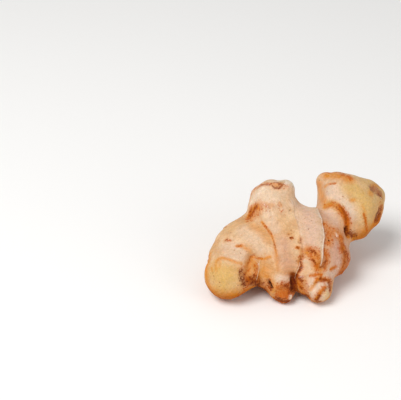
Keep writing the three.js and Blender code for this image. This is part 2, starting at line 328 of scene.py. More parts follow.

# The order counts: a cream or pale mark clears the amber and the painted shade that lie under it.
MARKS = {
    # The stem stub and its foot.
    "papery side of the stub": Mark(Zone.PAPER, 0.4, 5, ((251, 200), (256, 193), (263, 188))),
    # Cream on the stub's face: its pale skin, with a painted highlight where the light falls.
    "painted highlight on the stub's face": Mark(
        Zone.CREAM, 1.0, 10, ((254, 199), (259, 192), (266, 195), (273, 192))),
    "shoulder of the stub": Mark(Zone.SAND, 0.5, 6, ((284, 192), (288, 199))),
    "speckled side of the stub": Mark(
        Zone.SPECKLE, 1.0, 3.5, ((248, 203), (252, 194), (258, 186), (264, 183))),
    "rust on the stub's side": Mark(
        Zone.RUST, 0.4, 2.6, ((246, 203), (249, 194), (253, 187), (260, 182.5))),
    "line on the stub's top": Mark(Zone.LINE, 1.0, 1.2, ((259, 184.6), (264, 183.8), (270, 184.4))),
    "rust on the stub's top": Mark(Zone.RUST, 0.7, 2, ((258, 185), (265, 183), (271, 183))),
    "outline of the stub's eye": Mark(Zone.LINE, 1.0, 1.1, STUB_EYE),
    "dark end of the stub's eye": Mark(Zone.SCAR, 0.7, 1.5, ((274, 186.4), (278, 187.4), (281, 185.8))),
    "amber of the stub's eye": Mark(Zone.AMBER, 0.6, 3, ((272, 184), (280, 185))),
    "papery rim of the stub": Mark(Zone.PAPER, 1.0, 4.6, ((282, 180), (287, 180.5), (292, 184))),
    "rust under the papery rim": Mark(Zone.RUST, 0.4, 1.4, ((284, 187.5), (289, 188.5))),
    "brown left of the stub": Mark(Zone.SCAR, 0.55, 2.8, ((249, 214), (251, 210), (253, 207.5))),
    "rust left of the stub": Mark(Zone.RUST, 1.0, 3.8, ((248.5, 215), (251, 210.5), (254, 207.5))),
    "amber left of the stub": Mark(Zone.AMBER, 1.0, 3.8, ((248, 214), (251, 209), (256, 206.5))),
    "flecks left of the stub": Mark(Zone.RUST, 0.55, 4.5, ((250, 217), (254, 211), (258, 206))),
    "tan left of the stub": Mark(Zone.AMBER, 0.5, 5, ((249, 217), (254, 211), (258, 206))),
    "pale neck": Mark(Zone.PALE, 0.8, 5, ((294, 203), (301, 206), (309, 208))),
    "tan at the stub's foot": Mark(Zone.SAND, 0.9, 3, ((256, 206), (267, 205), (282, 204.5))),
    "amber at the stub's foot": Mark(Zone.AMBER, 0.4, 2.2, ((256, 205), (264, 204.5), (272, 205))),
    "dots at the stub's foot": Mark(Zone.RUST, 0.26, 4, ((256, 208), (266, 206.5), (280, 207))),
    "right dash at the stub's foot": Mark(Zone.AMBER, 0.4, 1.2, ((280, 202.5), (281.5, 206))),
    # The body, from the first ring to the gap between the buds.
    "sandy stripe of the body": Mark(Zone.SAND, 0.6, 5, ((286, 220), (289, 232), (289, 244), (285, 252))),
    "pale top of the body": Mark(Zone.PALE, 0.6, 6, ((268, 214), (271, 222), (275, 228))),
    "pale left of the body": Mark(Zone.PALE, 0.5, 8, ((244, 232), (256, 240), (262, 248))),
    "tan beside the first ring": Mark(
        Zone.SAND, 1.0, 5, ((250, 227), (256, 229), (262, 233), (268, 241))),
    "amber beside the first ring": Mark(Zone.AMBER, 0.3, 4, ((254, 227), (262, 232), (268, 240))),
    "first ring": Mark(Zone.AMBER, 0.7, 1.2, FIRST_RING),
    "core of the first ring": Mark(Zone.LINE, 0.5, 0.8, FIRST_RING),
    "flecks of the first ring": Mark(Zone.RUST, 0.4, 0.9, FIRST_RING[:4]),
    "foot of the first ring": Mark(Zone.AMBER, 0.4, 2.2, ((277, 256), (277.5, 264), (277, 273))),
    "blush of the lower body": Mark(Zone.BLUSH, 0.6, 8, ((283, 244), (284, 256), (288, 266))),
    # Painted shade in amber on the lower body, which faces down.
    "painted shade of the lower body": Mark(Zone.AMBER, 0.3, 7, ((262, 262), (268, 270), (278, 275), (290, 274))),
    "pale scale": Mark(Zone.PALE, 0.85, 7, ((307, 208), (311, 222), (313, 236), (311, 245))),
    "blush of the pale scale": Mark(Zone.BLUSH, 0.4, 8, ((308, 214), (312, 230), (311, 242))),
    "specks by the second ring": Mark(Zone.SPECKLE, 1.0, 4, ((290, 230), (297, 244), (300, 252))),
    "fleck by the second ring": Mark(Zone.RUST, 1.0, 1.2, ((296.5, 247.5), (298.5, 248))),
    "amber of the second ring's fleck": Mark(Zone.AMBER, 0.8, 1.3, ((296.5, 247.5), (298.5, 248))),
    "heart of the second ring's fleck": Mark(Zone.SCAR, 0.7, 0.9, ((296.8, 247.6), (298.2, 248))),
    "upper fleck by the second ring": Mark(Zone.SCAR, 1.0, 1.0, ((300.6, 239), (300.2, 242.5))),
    "upper crack": Mark(Zone.LINE, 0.35, 0.8, CRACK[:3]),
    "crack between the buds": Mark(Zone.LINE, 0.9, 0.9, CRACK[2:]),
    "flecks along the crack": Mark(Zone.SCAR, 0.4, 1.2, CRACK[2:]),
    "rust along the crack": Mark(Zone.RUST, 0.7, 2, CRACK[2:]),
    "amber along the crack": Mark(Zone.AMBER, 0.6, 2.2, CRACK[1:]),
    # Painted shadow in the deep gap between the buds: a brown tint, dark flecks and a near-black depth.
    "painted shadow in the gap between the buds": Mark(Zone.PAINTED_SHADE_BROWN, 1.0, 4.5, ((292, 277), (294, 284), (297, 290))),
    "flecks of the gap": Mark(Zone.SCAR, 0.8, 2.6, ((294, 279), (294.5, 285), (297, 290))),
    "painted shadow deep in the gap": Mark(Zone.BRUISE_AND_SHADOW, 1.0, 2.2, ((293.5, 281), (294, 286), (296, 290))),
    # The stain at the papery edge and the pink bulge past it.
    "top of the stain": Mark(Zone.RUST, 0.7, 2, ((305, 251), (309, 249.5), (317, 250))),
    "left of the stain": Mark(Zone.RUST, 0.8, 2.8, ((311, 254), (313, 260), (315.5, 264))),
    "right of the stain": Mark(Zone.RUST, 0.7, 3.2, ((317, 254), (319.5, 261), (318.5, 269))),
    "strokes of the stain": Mark(Zone.SCAR, 0.45, 1.5, ((309, 251), (314.5, 252), (317, 256))),
    "dark spot of the stain": Mark(Zone.SCAR, 0.8, 1.3, ((313.5, 261), (315.5, 263))),
    "halo of the stain": Mark(Zone.AMBER, 0.8, 5.5, ((308, 252), (315, 256), (319, 268))),
    "specks of the stain": Mark(Zone.SPECKLE, 1.0, 5, ((309, 252), (315, 258), (318, 267))),
    "crescent past the papery edge": Mark(Zone.RUST, 0.9, 2.8, ((325, 252), (327, 259), (324, 267))),
    "amber of the crescent": Mark(Zone.AMBER, 0.6, 3.2, ((325, 251), (327, 259), (324, 268))),
    "dark of the crescent": Mark(Zone.SCAR, 0.6, 1.4, ((326, 261), (324, 266), (321, 268))),
    "orange past the papery edge": Mark(Zone.RUST, 0.5, 4, ((326, 226), (329, 232), (328, 240))),
    "amber past the papery edge": Mark(Zone.AMBER, 0.6, 5, ((325, 224), (330, 232), (329, 242))),
    "blush of the bulge": Mark(Zone.BLUSH, 1.0, 8, ((334, 240), (337, 252), (336, 266))),
    "pale top of the bulge": Mark(Zone.PALE, 0.8, 5, ((325, 208), (331, 216), (335, 222))),
    "orange across the bulge": Mark(Zone.RUST, 0.45, 5, ((329, 230), (336, 234), (342, 239))),
    "amber across the bulge": Mark(Zone.AMBER, 0.6, 6, ((328, 230), (335, 233), (342, 238))),
    "papery fleck of the bulge": Mark(Zone.PAPER, 0.7, 1.6, ((335.5, 233.5), (337, 235.5))),
    "rust on the bulge's shoulder": Mark(Zone.RUST, 0.95, 3.2, ((340.5, 238), (342, 244), (340.5, 249))),
    "amber on the bulge's shoulder": Mark(Zone.AMBER, 0.7, 3, ((340, 236), (342, 244), (341, 250))),
    "brown edge of the bulge": Mark(Zone.RUST, 1.0, 5, BULGE_EDGE),
    "flecks of the bulge": Mark(Zone.SCAR, 0.35, 3, BULGE_EDGE),
    "specks of the bulge's edge": Mark(Zone.SPECKLE, 1.0, 6, ((339, 244), (343, 254), (341, 266))),
    "scab on the bulge's edge": Mark(Zone.SCAR, 0.45, 2.8, ((346, 252), (347.5, 260), (346, 267))),
    "dash on the bulge": Mark(Zone.RUST, 1.0, 1.5, ((330.5, 269), (334.5, 266.8))),
    "pale lower bulge": Mark(Zone.PALE, 1.0, 5, ((329, 275), (335, 274), (341, 272))),
    "amber of the bulge's dash": Mark(Zone.AMBER, 0.8, 1.8, ((330.5, 269), (334.5, 266.8))),
    "amber edge of the bulge": Mark(Zone.AMBER, 0.8, 4.6, BULGE_EDGE),
    "brown rim of the bulge": Mark(Zone.RUST, 0.9, 4, ((346, 253), (348, 259), (347, 266))),
    "blush of the lower bulge": Mark(Zone.BLUSH, 0.5, 5, ((330, 274), (338, 273), (344, 268))),
    # The long finger.
    # Darker amber and rust-brown along the long finger's top edge.
    "brown top of the long finger": Mark(
        Zone.AMBER, 0.8, 5, ((328, 175.5), (333, 175.5), (340, 176.5), (350, 179))),
    "rust-brown top of the long finger": Mark(Zone.RUST, 0.45, 3, ((326, 173), (338, 173), (350, 177))),
    "arc on the long finger": Mark(Zone.AMBER, 0.8, 1.4, ((324.5, 186.5), (329, 184), (335.5, 183.5))),
    "brown of the arc": Mark(Zone.RUST, 0.9, 1.2, ((330, 183.6), (335, 183.2))),
    "pale face of the long finger": Mark(
        Zone.PALE, 1.0, 8, ((331, 190), (338, 196), (346, 206), (352, 214))),
    "yellow face of the long finger": Mark(Zone.WAX, 0.9, 10, ((353, 188), (364, 198), (368, 210))),
    "streak on the long finger": Mark(Zone.AMBER, 0.6, 1.7, ((351, 200), (354, 199.5))),
    "left streak of the long finger": Mark(Zone.SAND, 0.7, 1.5, ((334, 189), (341, 200), (347, 212))),
    "middle streak of the long finger": Mark(Zone.SAND, 0.7, 1.6, ((345, 187), (352, 200), (357, 216))),
    "right streak of the long finger": Mark(Zone.AMBER, 0.35, 1.5, ((363, 206), (366, 214), (364, 222))),
    "amber at the long finger's left": Mark(Zone.AMBER, 0.55, 4, ((319, 184), (320, 192), (324, 201))),
    "tan of the crease": Mark(Zone.WAX, 0.8, 3.5, ((325, 206), (332, 203.5), (340, 208))),
    "amber of the crease": Mark(Zone.AMBER, 0.7, 2.8, ((325, 206), (332, 204), (340, 208))),
    "flecks of the upper crease": Mark(Zone.RUST, 0.6, 2.4, ((326, 206.5), (332, 204.5), (338, 207.5))),
    # Painted shade in brown deep in the crease beside the long finger.
    "painted shade of the crease": Mark(Zone.PAINTED_SHADE_BROWN, 0.5, 2, ((342, 212), (346, 220), (347.5, 230))),
    "lower amber of the crease": Mark(
        Zone.AMBER, 1.0, 2.8, ((340, 209), (345.5, 217), (348, 226), (348, 236))),
    "brown of the crease": Mark(Zone.RUST, 0.9, 2.6, FINGER_CREASE[1:]),
    "dashes of the crease": Mark(Zone.LINE, 0.8, 1.1, ((333, 205.5), (338, 209), (341, 213))),
    "line of the crease": Mark(
        Zone.LINE, 1.0, 1.2, ((339.5, 206.5), (343.5, 211.5), (346, 217), (347, 224))),
    "dark slit of the crease": Mark(Zone.PIT, 1.0, 1.3, ((346, 229), (346.3, 232.5))),
    "dark foot of the crease": Mark(Zone.SCAR, 1.0, 3, ((346.5, 230), (348.5, 233.5), (353, 234))),
    # Painted shade at the crease's foot, darkest beside the slit.
    "painted shade at the crease's foot": Mark(Zone.BRUISE_AND_SHADOW, 0.7, 1.8, ((347, 232), (349.5, 234.5))),
    "ring dash of the long finger": Mark(Zone.RUST, 1.0, 1.2, ((364.3, 215), (366, 221), (366.2, 229))),
    "amber of the ring dash": Mark(Zone.AMBER, 0.8, 1.5, ((364.3, 214), (366, 221), (365.6, 231))),
    # Painted shade in amber along the long finger's underside.
    "painted shade under the long finger": Mark(
        Zone.AMBER, 1.0, 5, ((352, 236), (362, 235), (371, 228), (379, 218))),
    "callus at the tip": Mark(Zone.CALLUS, 1.0, 4.2, ((372.5, 189), (377, 190), (380.5, 194))),
    "dark spots of the callus": Mark(Zone.SCAR, 0.8, 1.6, ((379, 193), (382, 197.5))),
    "white speck of the callus": Mark(Zone.PAPER, 0.8, 0.8, ((381.5, 198),)),
    "amber round the callus": Mark(Zone.AMBER, 0.6, 3, ((371, 194), (374, 186), (381, 187))),
    "rust under the tip": Mark(Zone.RUST, 1.0, 4, ((381, 208), (380, 214), (377, 221))),
    "brown patch under the tip": Mark(Zone.SCAR, 1.0, 3.2, ((380, 210), (379, 215), (377, 220))),
    "dark side of the tip's patch": Mark(Zone.BRUISE_AND_SHADOW, 1.0, 1.8, ((377, 214), (376, 219))),
    # The rounded finger, with the valley and crotch beside it.
    "tan shoulder of the rounded finger": Mark(Zone.SAND, 0.8, 8, ((228, 229), (236, 224), (244, 222))),
    "peach of the rounded finger": Mark(Zone.PALE, 0.6, 8, ((228, 246), (240, 253), (230, 256))),
    "yellow tip of the rounded finger": Mark(Zone.WAX, 0.85, 11, ((217, 274), (228, 276), (222, 287))),
    "upper dash of the rounded finger": Mark(Zone.LINE, 1.0, 1.1, ((224.3, 240), (227, 237.5))),
    "lower dash of the rounded finger": Mark(Zone.RUST, 0.9, 0.9, ((227, 240.5), (231, 240))),
    "dash of the rounded finger": Mark(Zone.AMBER, 0.8, 1.3, ((236.5, 245.6), (242, 244.6))),
    "brown of the finger's dash": Mark(Zone.RUST, 0.5, 0.9, ((236.5, 245.6), (242, 244.6))),
    "arc of the rounded finger": Mark(
        Zone.AMBER, 0.5, 2, ((242, 245), (248, 249.3), (252, 253), (254, 257))),
    "ring of the rounded finger": Mark(
        Zone.AMBER, 0.65, 1.5, ((222, 257.7), (227.5, 258.6), (234.5, 261.4), (242, 263.4))),
    "left end of the finger's ring": Mark(
        Zone.AMBER, 0.6, 1.6, ((221.5, 257.8), (218, 259.5), (216.5, 262))),
    "streak under the finger's ring": Mark(Zone.AMBER, 0.45, 1.6, ((216, 264), (216.4, 270))),
    "second streak under the finger's ring": Mark(Zone.AMBER, 0.4, 1.4, ((220, 262), (219.6, 267))),
    "fleck left of the rounded finger": Mark(Zone.AMBER, 0.7, 1.0, ((211.5, 268), (212.5, 271))),
    # Painted shade in amber along the rounded finger's left edge.
    "painted shade left of the rounded finger": Mark(
        Zone.AMBER, 0.8, 4, ((208, 256), (206, 268), (207, 282), (212, 291))),
    "bruise": Mark(Zone.BRUISE_AND_SHADOW, 0.7, 2.8, ((241.5, 272), (242.5, 277), (244.5, 284))),
    "dark edge of the bruise": Mark(Zone.BRUISE_AND_SHADOW, 0.85, 1.5, ((240, 274), (241.5, 279), (243, 284.5))),
    "rust of the bruise": Mark(Zone.RUST, 0.7, 3.2, ((243, 270), (245, 276), (246, 285))),
    # Painted shade in amber down the valley on the rounded finger's right side; the rust crease line is
    # partly painted shade in the crease. The tan and the streak are the skin's own.
    "painted shade of the valley": Mark(Zone.AMBER, 0.7, 5, ((253, 259), (250, 266), (249, 276), (252, 284))),
    "tan right of the valley": Mark(Zone.SAND, 0.9, 6, ((258, 262), (262, 270), (262, 278))),
    "painted shade right of the valley": Mark(Zone.AMBER, 0.75, 5, ((256, 264), (257, 272), (259, 280))),
    "crease of the valley": Mark(Zone.RUST, 0.5, 1.8, ((254, 257), (251, 262), (250, 268), (249, 274))),
    "streak right of the valley": Mark(Zone.RUST, 0.7, 1.8, ((256.5, 266), (257, 270), (255.5, 274))),
    "branch of the valley": Mark(
        Zone.AMBER, 0.8, 1.5, ((254.5, 257), (259, 258.8), (264, 258.8), (270, 257))),
    "fleck of the branch": Mark(Zone.RUST, 0.4, 0.8, ((257, 258.2), (262, 259))),
    # Painted shade where the rounded finger's underside runs into the front bud: a brown tint with a
    # darkest core. The specks and flecks are the skin's own.
    "crotch": Mark(Zone.PAINTED_SHADE_BROWN, 1.0, 4.5, ((249, 281), (255, 282), (262, 284), (267, 289))),
    "painted shade deep in the crotch": Mark(Zone.BRUISE_AND_SHADOW, 0.8, 2.4, ((252, 283), (256, 283.5), (261, 285), (266, 288))),
    "specks of the crotch": Mark(Zone.SPECKLE, 1.0, 5.5, ((250, 280), (258, 281), (266, 284))),
    "painted shade right of the crotch": Mark(Zone.PAINTED_SHADE_BROWN, 0.7, 4, ((257, 279), (262, 282), (266, 288))),
    "flecks right of the crotch": Mark(Zone.SCAR, 0.5, 2.6, ((258, 280), (262, 282.5), (265, 287))),
    "flecks of the crotch": Mark(Zone.SCAR, 0.5, 3, ((251.5, 279), (257, 280), (263, 282))),
    # Painted shade in amber along the rounded finger's underside. The rust over it is partly its own
    # browner skin and partly painted shade.
    "painted shade under the rounded finger": Mark(Zone.AMBER, 0.8, 4, ((228, 298), (238, 296), (247, 288))),
    "rust under the rounded finger": Mark(Zone.RUST, 0.6, 2.4, ((236, 297), (243, 292), (248, 287))),
    "specks under the rounded finger": Mark(Zone.SPECKLE, 1.0, 4, ((216, 292), (228, 296), (240, 292))),
    # The front bud.
    "specks of the front bud": Mark(Zone.SPECKLE, 1.0, 5, ((267, 287), (274, 293), (282, 294))),
    "amber of the front bud": Mark(Zone.AMBER, 0.6, 6, ((264, 272), (268, 279), (272, 288), (277, 292))),
    "pale collar of the front bud": Mark(Zone.PALE, 1.0, 3.8, ((279, 278), (284, 279), (288.5, 279.5))),
    "red end of the front bud": Mark(Zone.RUST, 1.0, 4, ((283, 286), (288, 287), (288, 294))),
    # Painted shade in brown over the front bud's red end.
    "painted shade of the front bud": Mark(Zone.PAINTED_SHADE_BROWN, 0.6, 4, ((284, 288), (289, 287), (288, 295))),
    "amber end of the front bud": Mark(Zone.AMBER, 0.6, 4, ((279, 288), (280, 295), (285, 293))),
    "dark red of the front bud": Mark(Zone.SCAR, 0.7, 2.6, ((285, 285.5), (289.5, 287), (291.5, 291))),
    "brown bottom of the front bud": Mark(Zone.BRUISE_AND_SHADOW, 1.0, 2.6, ((278, 300), (282, 301), (287, 301.5))),
    "white tip of the front bud": Mark(Zone.PAPER, 1.0, 2.0, ((290.3, 297),)),
    "hole in the front bud": Mark(Zone.PIT, 1.0, 1.1, ((268.8, 282), (270.3, 284.5), (271.3, 287.5))),
    "brown of the hole": Mark(Zone.SCAR, 0.9, 1.8, ((268, 281), (269.6, 285), (271.5, 288))),
    "rust at the hole": Mark(Zone.RUST, 0.8, 2.4, ((268, 281), (271, 286))),
    # The ringed bud, then papery flecks and single specks.
    "pale scale of the ringed bud": Mark(Zone.PALE, 1.0, 4.5, ((311, 278), (311, 286), (314, 295))),
    "amber flank of the ringed bud": Mark(
        Zone.AMBER, 0.9, 3.4, ((299, 277), (301, 284), (304, 291), (309, 298))),
    "flecks of the ringed bud": Mark(
        Zone.SCAR, 0.5, 2.8, ((302, 279), (302.5, 284), (304, 290), (308, 295))),
    "rust of the ringed bud": Mark(Zone.RUST, 0.8, 3.6, ((301, 278), (303, 286), (308, 295))),
    "amber flecks of the ringed bud": Mark(Zone.AMBER, 0.5, 3, ((305, 281), (306, 288), (310, 295))),
    "papery flecks of the ringed bud": Mark(Zone.PAPER, 0.2, 3, ((310, 281), (312, 287), (313, 293))),
    "papery flecks right of the crack": Mark(Zone.PAPER, 0.25, 3, ((304, 262), (305, 268), (303, 274))),
    "papery flecks of the bulge": Mark(Zone.PAPER, 0.3, 3.4, ((333, 272), (337, 270), (338, 263))),
    "papery flecks at the stub's foot": Mark(Zone.PAPER, 0.3, 4, ((259, 201), (266, 202), (274, 203))),
    "papery flecks of the lower body": Mark(Zone.PAPER, 0.2, 2.4, ((257, 260), (259.5, 265), (258, 271))),
    "specks of the ringed bud": Mark(Zone.SPECKLE, 1.0, 4.5, ((302, 278), (303, 285), (307, 294))),
    "flecks beside the crack": Mark(Zone.AMBER, 0.3, 3.5, ((304, 266), (306, 274), (307, 281))),
    "line over the ringed bud": Mark(Zone.RUST, 1.0, 1.5, ((311, 275.5), (316, 274.8), (320.5, 274.3))),
    "amber over the ringed bud": Mark(Zone.AMBER, 0.8, 1.6, ((310.5, 275.5), (316, 274.8), (321, 274.3))),
    "collar of the ringed bud": Mark(Zone.SCAR, 0.7, 1.5, ((320, 279.2), (323, 279.8), (328, 280.5))),
    "rust of the collar": Mark(Zone.RUST, 1.0, 2.4, ((318, 278.8), (323, 279.8), (329, 280.6))),
    "amber of the collar": Mark(Zone.AMBER, 0.9, 2.6, ((318, 279), (323, 280), (329, 281))),
    "dark side of the ringed bud": Mark(Zone.SCAR, 0.8, 1.8, ((329.5, 281), (331, 286), (331, 290.5))),
    "rust side of the ringed bud": Mark(Zone.RUST, 1.0, 2.6, ((329.5, 281), (331, 286), (331, 291))),
    "tan step of the ringed bud": Mark(Zone.AMBER, 0.75, 1.8, SCALE_STEP),
    "pale band of the ringed bud": Mark(
        Zone.PALE, 1.0, 2.6, ((312, 294), (316, 287.5), (321, 284), (327, 284.5))),
    "rust of the brown step": Mark(Zone.RUST, 1.0, 2.2, CORE_STEP),
    "core of the ringed bud": Mark(Zone.WAX, 0.5, 3.6, ((326, 291), (327, 297))),
    "pale core of the ringed bud": Mark(Zone.CREAM, 0.5, 3, ((327, 290.5), (325.5, 296), (321.5, 299))),
    "tan scale of the ringed bud": Mark(Zone.AMBER, 0.8, 1.8, ((316, 281), (313.5, 285), (311, 289))),
    "amber step of the ringed bud": Mark(Zone.AMBER, 1.0, 2, CORE_STEP),
    "brown step of the ringed bud": Mark(Zone.SCAR, 1.0, 1.5, ((318.5, 295.5), (317, 299))),
    # Painted shadow along the ringed bud's foot, where it meets the gap.
    "painted shadow at the ringed bud's hem": Mark(Zone.SCAR, 0.8, 2, ((300, 290.5), (304, 293), (308.5, 296.5))),
    "pale of the core": Mark(Zone.PALE, 1.0, 3.6, ((323, 299), (327, 290))),
    "brown tip of the ringed bud": Mark(Zone.SCAR, 0.9, 1.6, ((316.5, 300), (319.5, 301))),
    "speck on the body's right": Mark(Zone.PIT, 0.9, 0.8, ((329.5, 240.3),)),
    "specks of the body": Mark(Zone.SPECKLE, 0.25, 9, ((284, 226), (287, 240), (293, 250))),
    "specks of the finger's tip": Mark(Zone.SPECKLE, 0.6, 9, ((214, 276), (224, 282), (232, 290))),
    "first speck of the body": Mark(Zone.RUST, 1.0, 0.8, ((290.7, 237.8), (292, 237.4))),
    "amber of the first speck": Mark(Zone.AMBER, 0.7, 1, ((290.7, 237.8), (292, 237.4))),
    "heart of the first speck": Mark(Zone.SCAR, 0.9, 0.8, ((290.7, 237.8), (292, 237.4))),
    "second speck of the body": Mark(Zone.SCAR, 1.0, 0.8, ((288.4, 234.3),)),
    "third speck of the body": Mark(Zone.PIT, 0.7, 0.7, ((290.7, 209.6),)),
}

FOLDS = {
    "valley beside the rounded finger": Fold(1.0, 4.5, ((253, 258), (250, 266), (249, 275), (252, 283))),
    "crease of the valley": Fold(0.3, 1.8, ((255, 256), (251, 262), (250, 268), (249.5, 274))),
    "arc of the rounded finger": Fold(0.5, 2.2, ((240, 245), (248, 249.5), (253, 256))),
    "web of the crotch": Fold(-2.2, 6, ((252, 281), (258, 281.5), (263, 284))),
    "crack between the buds": Fold(0.5, 1.5, CRACK[1:]),
    "gap between the buds": Fold(2.0, 2.6, ((294, 276), (293.5, 283), (295, 290))),
    "flank of the ringed bud": Fold(-2.0, 5, ((300, 277), (300, 284), (302.5, 291))),
    "right shoulder of the stub": Fold(-1.8, 6, ((-4.5, 9.5, 48),)),
    "left shoulder of the stub": Fold(1.6, 8, ((-22.5, 8, 45),)),
    "crease left of the stub": Fold(0.5, 3.5, ((249, 216), (250, 210), (254, 206))),
    "crease of the long finger": Fold(1.0, 3.2, FINGER_CREASE),
    "underside of the long finger": Fold(-2.0, 9, ((351, 238), (361, 236))),
    "left corner of the long finger": Fold(-1.2, 6, ((320.5, 173.5),)),
    "top of the long finger": Fold(-0.6, 6, ((337, 172.5),)),
    "rim of the stub's eye": Fold(-0.5, 1.3, STUB_EYE),
    "hollow of the stub's eye": Fold(0.8, 1.9, ((274.5, 184.8), (278.5, 185.5))),
    "core of the ringed bud": Fold(-0.7, 3.4, ((327, 294.5),)),
    "dash of the rounded finger": Fold(0.4, 1.2, ((236.5, 245.6), (242, 244.6))),
    "hollow of the callus": Fold(0.6, 3.6, ((373, 189), (380, 194))),
    "bulge of the pink lobe": Fold(-0.8, 6, ((339, 252), (338, 264))),
    "knob on the bulge's edge": Fold(-0.7, 3.2, ((349, 259),)),
    "dent under the bulge's knob": Fold(0.6, 2.6, ((347, 268.5),)),
    "knob under the bulge": Fold(-0.6, 2.8, ((342, 273),)),
    "dent of the bulge's shoulder": Fold(0.5, 3, ((345.5, 243),)),
}


def catmull_rom(stations: Points, steps: int) -> Points:
    """Points along a smooth curve through the stations.

    Args:
        stations: The points that the curve passes, one a row.
        steps: How many stretches the curve is cut into.

    Returns:
        steps + 1 points, ends included.
    """
    padded = np.vstack([2 * stations[0] - stations[1], stations, 2 * stations[-1] - stations[-2]])
    places = np.linspace(0, len(stations) - 1, steps + 1)
    span = np.minimum(places.astype(int), len(stations) - 2)
    t = (places - span)[:, None]
    a, b, c, d = (padded[span + k] for k in range(4))
    return b + 0.5 * t * (c - a + t * (2 * a - 5 * b + 4 * c - d + t * (3 * (b - c) + d - a)))


@dataclass
class LobeReading:
    """What a lobe says about some points.

    It holds how far its skin is, which way that grows, and where the points are on it.
    """

    distance: Values
    slope: Points
    around: Points
    along: Values
    heading: Points


@dataclass
class Lobe:
    """One lobe: a smooth spine thickened by a changing radius, as a chain of cones, in millimetres."""

    stations: tuple[tuple[float, float, float, float], ...]
    steps: int = 16

    def __post_init__(self) -> None:
        """Cuts the spine into cones."""
        spine = catmull_rom(np.array(self.stations, float), self.steps)
        stretch = np.diff(spine[:, :3], axis=0)
        self.start = spine[:-1, :3]
        self.length = np.linalg.norm(stretch, axis=1)
        self.heading = stretch / self.length[:, None]
        self.radius = spine[:-1, 3]
        self.widening = np.diff(spine[:, 3]) / self.length
        self.passed = np.concatenate([[0], np.cumsum(self.length)[:-1]])

    def read(self, points: Points) -> LobeReading:
        """Measures the lobe from each point.

        Args:
            points: Places in millimetres.

        Returns:
            Distance and place on the nearest cone, one row for each point.
        """
        offset = points[:, None, :] - self.start
        foot = np.clip(np.einsum("pcx,cx->pc", offset, self.heading), 0, self.length)
        away = offset - foot[..., None] * self.heading
        reach = np.linalg.norm(away, axis=2)
        gap = reach - self.radius - self.widening * foot
        cone = gap.argmin(axis=1)
        row = np.arange(len(points))
        foot = foot[row, cone]
        between = (foot > 0) & (foot < self.length[cone])
        lean = np.where(between, self.widening[cone], 0)
        around = away[row, cone]
        heading = self.heading[cone]
        slope = around / reach[row, cone, None] - lean[:, None] * heading
        return LobeReading(gap[row, cone], slope, around, self.passed[cone] + foot, heading)


@dataclass
class SkinReading:
    """What the whole skin says about some points."""

    distance: Values
    slope: Points
    shares: dict[LobeName, Values]
    grain: Points


@dataclass
class PlainSkin:
    """The skin of all lobes, run into each other with soft fillets, without relief, in millimetres."""

    fillet: float = 2.0
    share_softness: float = 3.0
    grain_softness: float = 2.0
    grain_stretch: float = 0.25
    lobes: dict[LobeName, Lobe] = field(
        default_factory=lambda: {name: Lobe(stations) for name, stations in LOBES.items()})

    def blend(self, gaps: Values, softness: float) -> Values:
        """Shares of the lobes at each point, the nearest lobe the largest."""
        weight = np.exp((gaps.min(axis=0) - gaps) / softness)
        return weight / weight.sum(axis=0)

    def onto(self, points: Points, rounds: int, step: float) -> Points:
        """Moves points onto the skin.

        Args:
            points: Places in millimetres.
            rounds: How many times they are moved.
            step: The farthest move in one round.

        Returns:
            The moved points.
        """
        for _ in range(rounds):
            reading = self.read(points)
            move = np.clip(reading.distance / (reading.slope**2).sum(axis=1), -step, step)
            points = points - move[:, None] * reading.slope
        return points

    def read(self, points: Points) -> SkinReading:
        """Measures the skin from each point.

        Args:
            points: Places in millimetres.

        Returns:
            Distance, slope and lobe shares, one row for each point.
        """
        readings = [lobe.read(points) for lobe in self.lobes.values()]
        gaps = np.array([reading.distance for reading in readings])
        nearest = gaps.min(axis=0)
        crowd = np.exp((nearest - gaps) / self.fillet).sum(axis=0)
        joined = self.blend(gaps, self.fillet)
        slope = sum(share[:, None] * reading.slope for share, reading in zip(joined, readings))
        local = self.blend(gaps, self.grain_softness)
        grain = sum(
            share[:, None] * (
                reading.around + (self.grain_stretch * reading.along)[:, None] * reading.heading)
            for share, reading in zip(local, readings)
        )
        wide = self.blend(gaps, self.share_softness)
        return SkinReading(
            distance=nearest - self.fillet * np.log(crowd),
            slope=slope,
            shares=dict(zip(self.lobes, wide)),
            grain=grain,
        )


@dataclass(frozen=True)
class PhotoCamera:
    """A camera at the photograph's place, in metres. Pixels are those of the photograph's frame."""

    elevation: float = math.radians(35)
    distance: float = 0.6
    pixel_size: float = 0.00052
    anchor: tuple[float, float, float] = (-0.001, -0.003, 0.020)
    anchor_pixel: tuple[float, float] = (294.5, 244.0)
    frame_width: float = 401
    frame_height: float = 400
    sensor_width: float = 36.0

    @property
    def ahead(self) -> Vector:
        """The way it looks."""
        return Vector((0, math.cos(self.elevation), -math.sin(self.elevation)))

    @property
    def location(self) -> Vector:
        """Its place, from which the anchor falls on its pixel."""
        return Vector(self.anchor) - self.distance * self.direction(self.anchor_pixel)

    def direction(self, pixel: tuple[float, float]) -> Vector:
        """The way to a pixel, one long along the view."""
        up = Vector((0, math.sin(self.elevation), math.cos(self.elevation)))
        focal = self.distance / self.pixel_size
        across = (pixel[0] - self.frame_width / 2) / focal
        rise = (self.frame_height / 2 - pixel[1]) / focal
        return self.ahead + Vector((across, 0, 0)) + up * rise

    def build(self) -> bpy.types.Object:
        """Places the camera."""
        data = bpy.data.cameras.new("photo_camera")
        data.sensor_width = self.sensor_width
        data.lens = self.sensor_width * self.distance / self.pixel_size / self.frame_width
        camera = bpy.data.objects.new("photo_camera", data)
        bpy.context.scene.collection.objects.link(camera)
        camera.location = self.location
        camera.rotation_euler = (math.pi / 2 - self.elevation, 0, 0)
        bpy.context.scene.camera = camera
        return camera


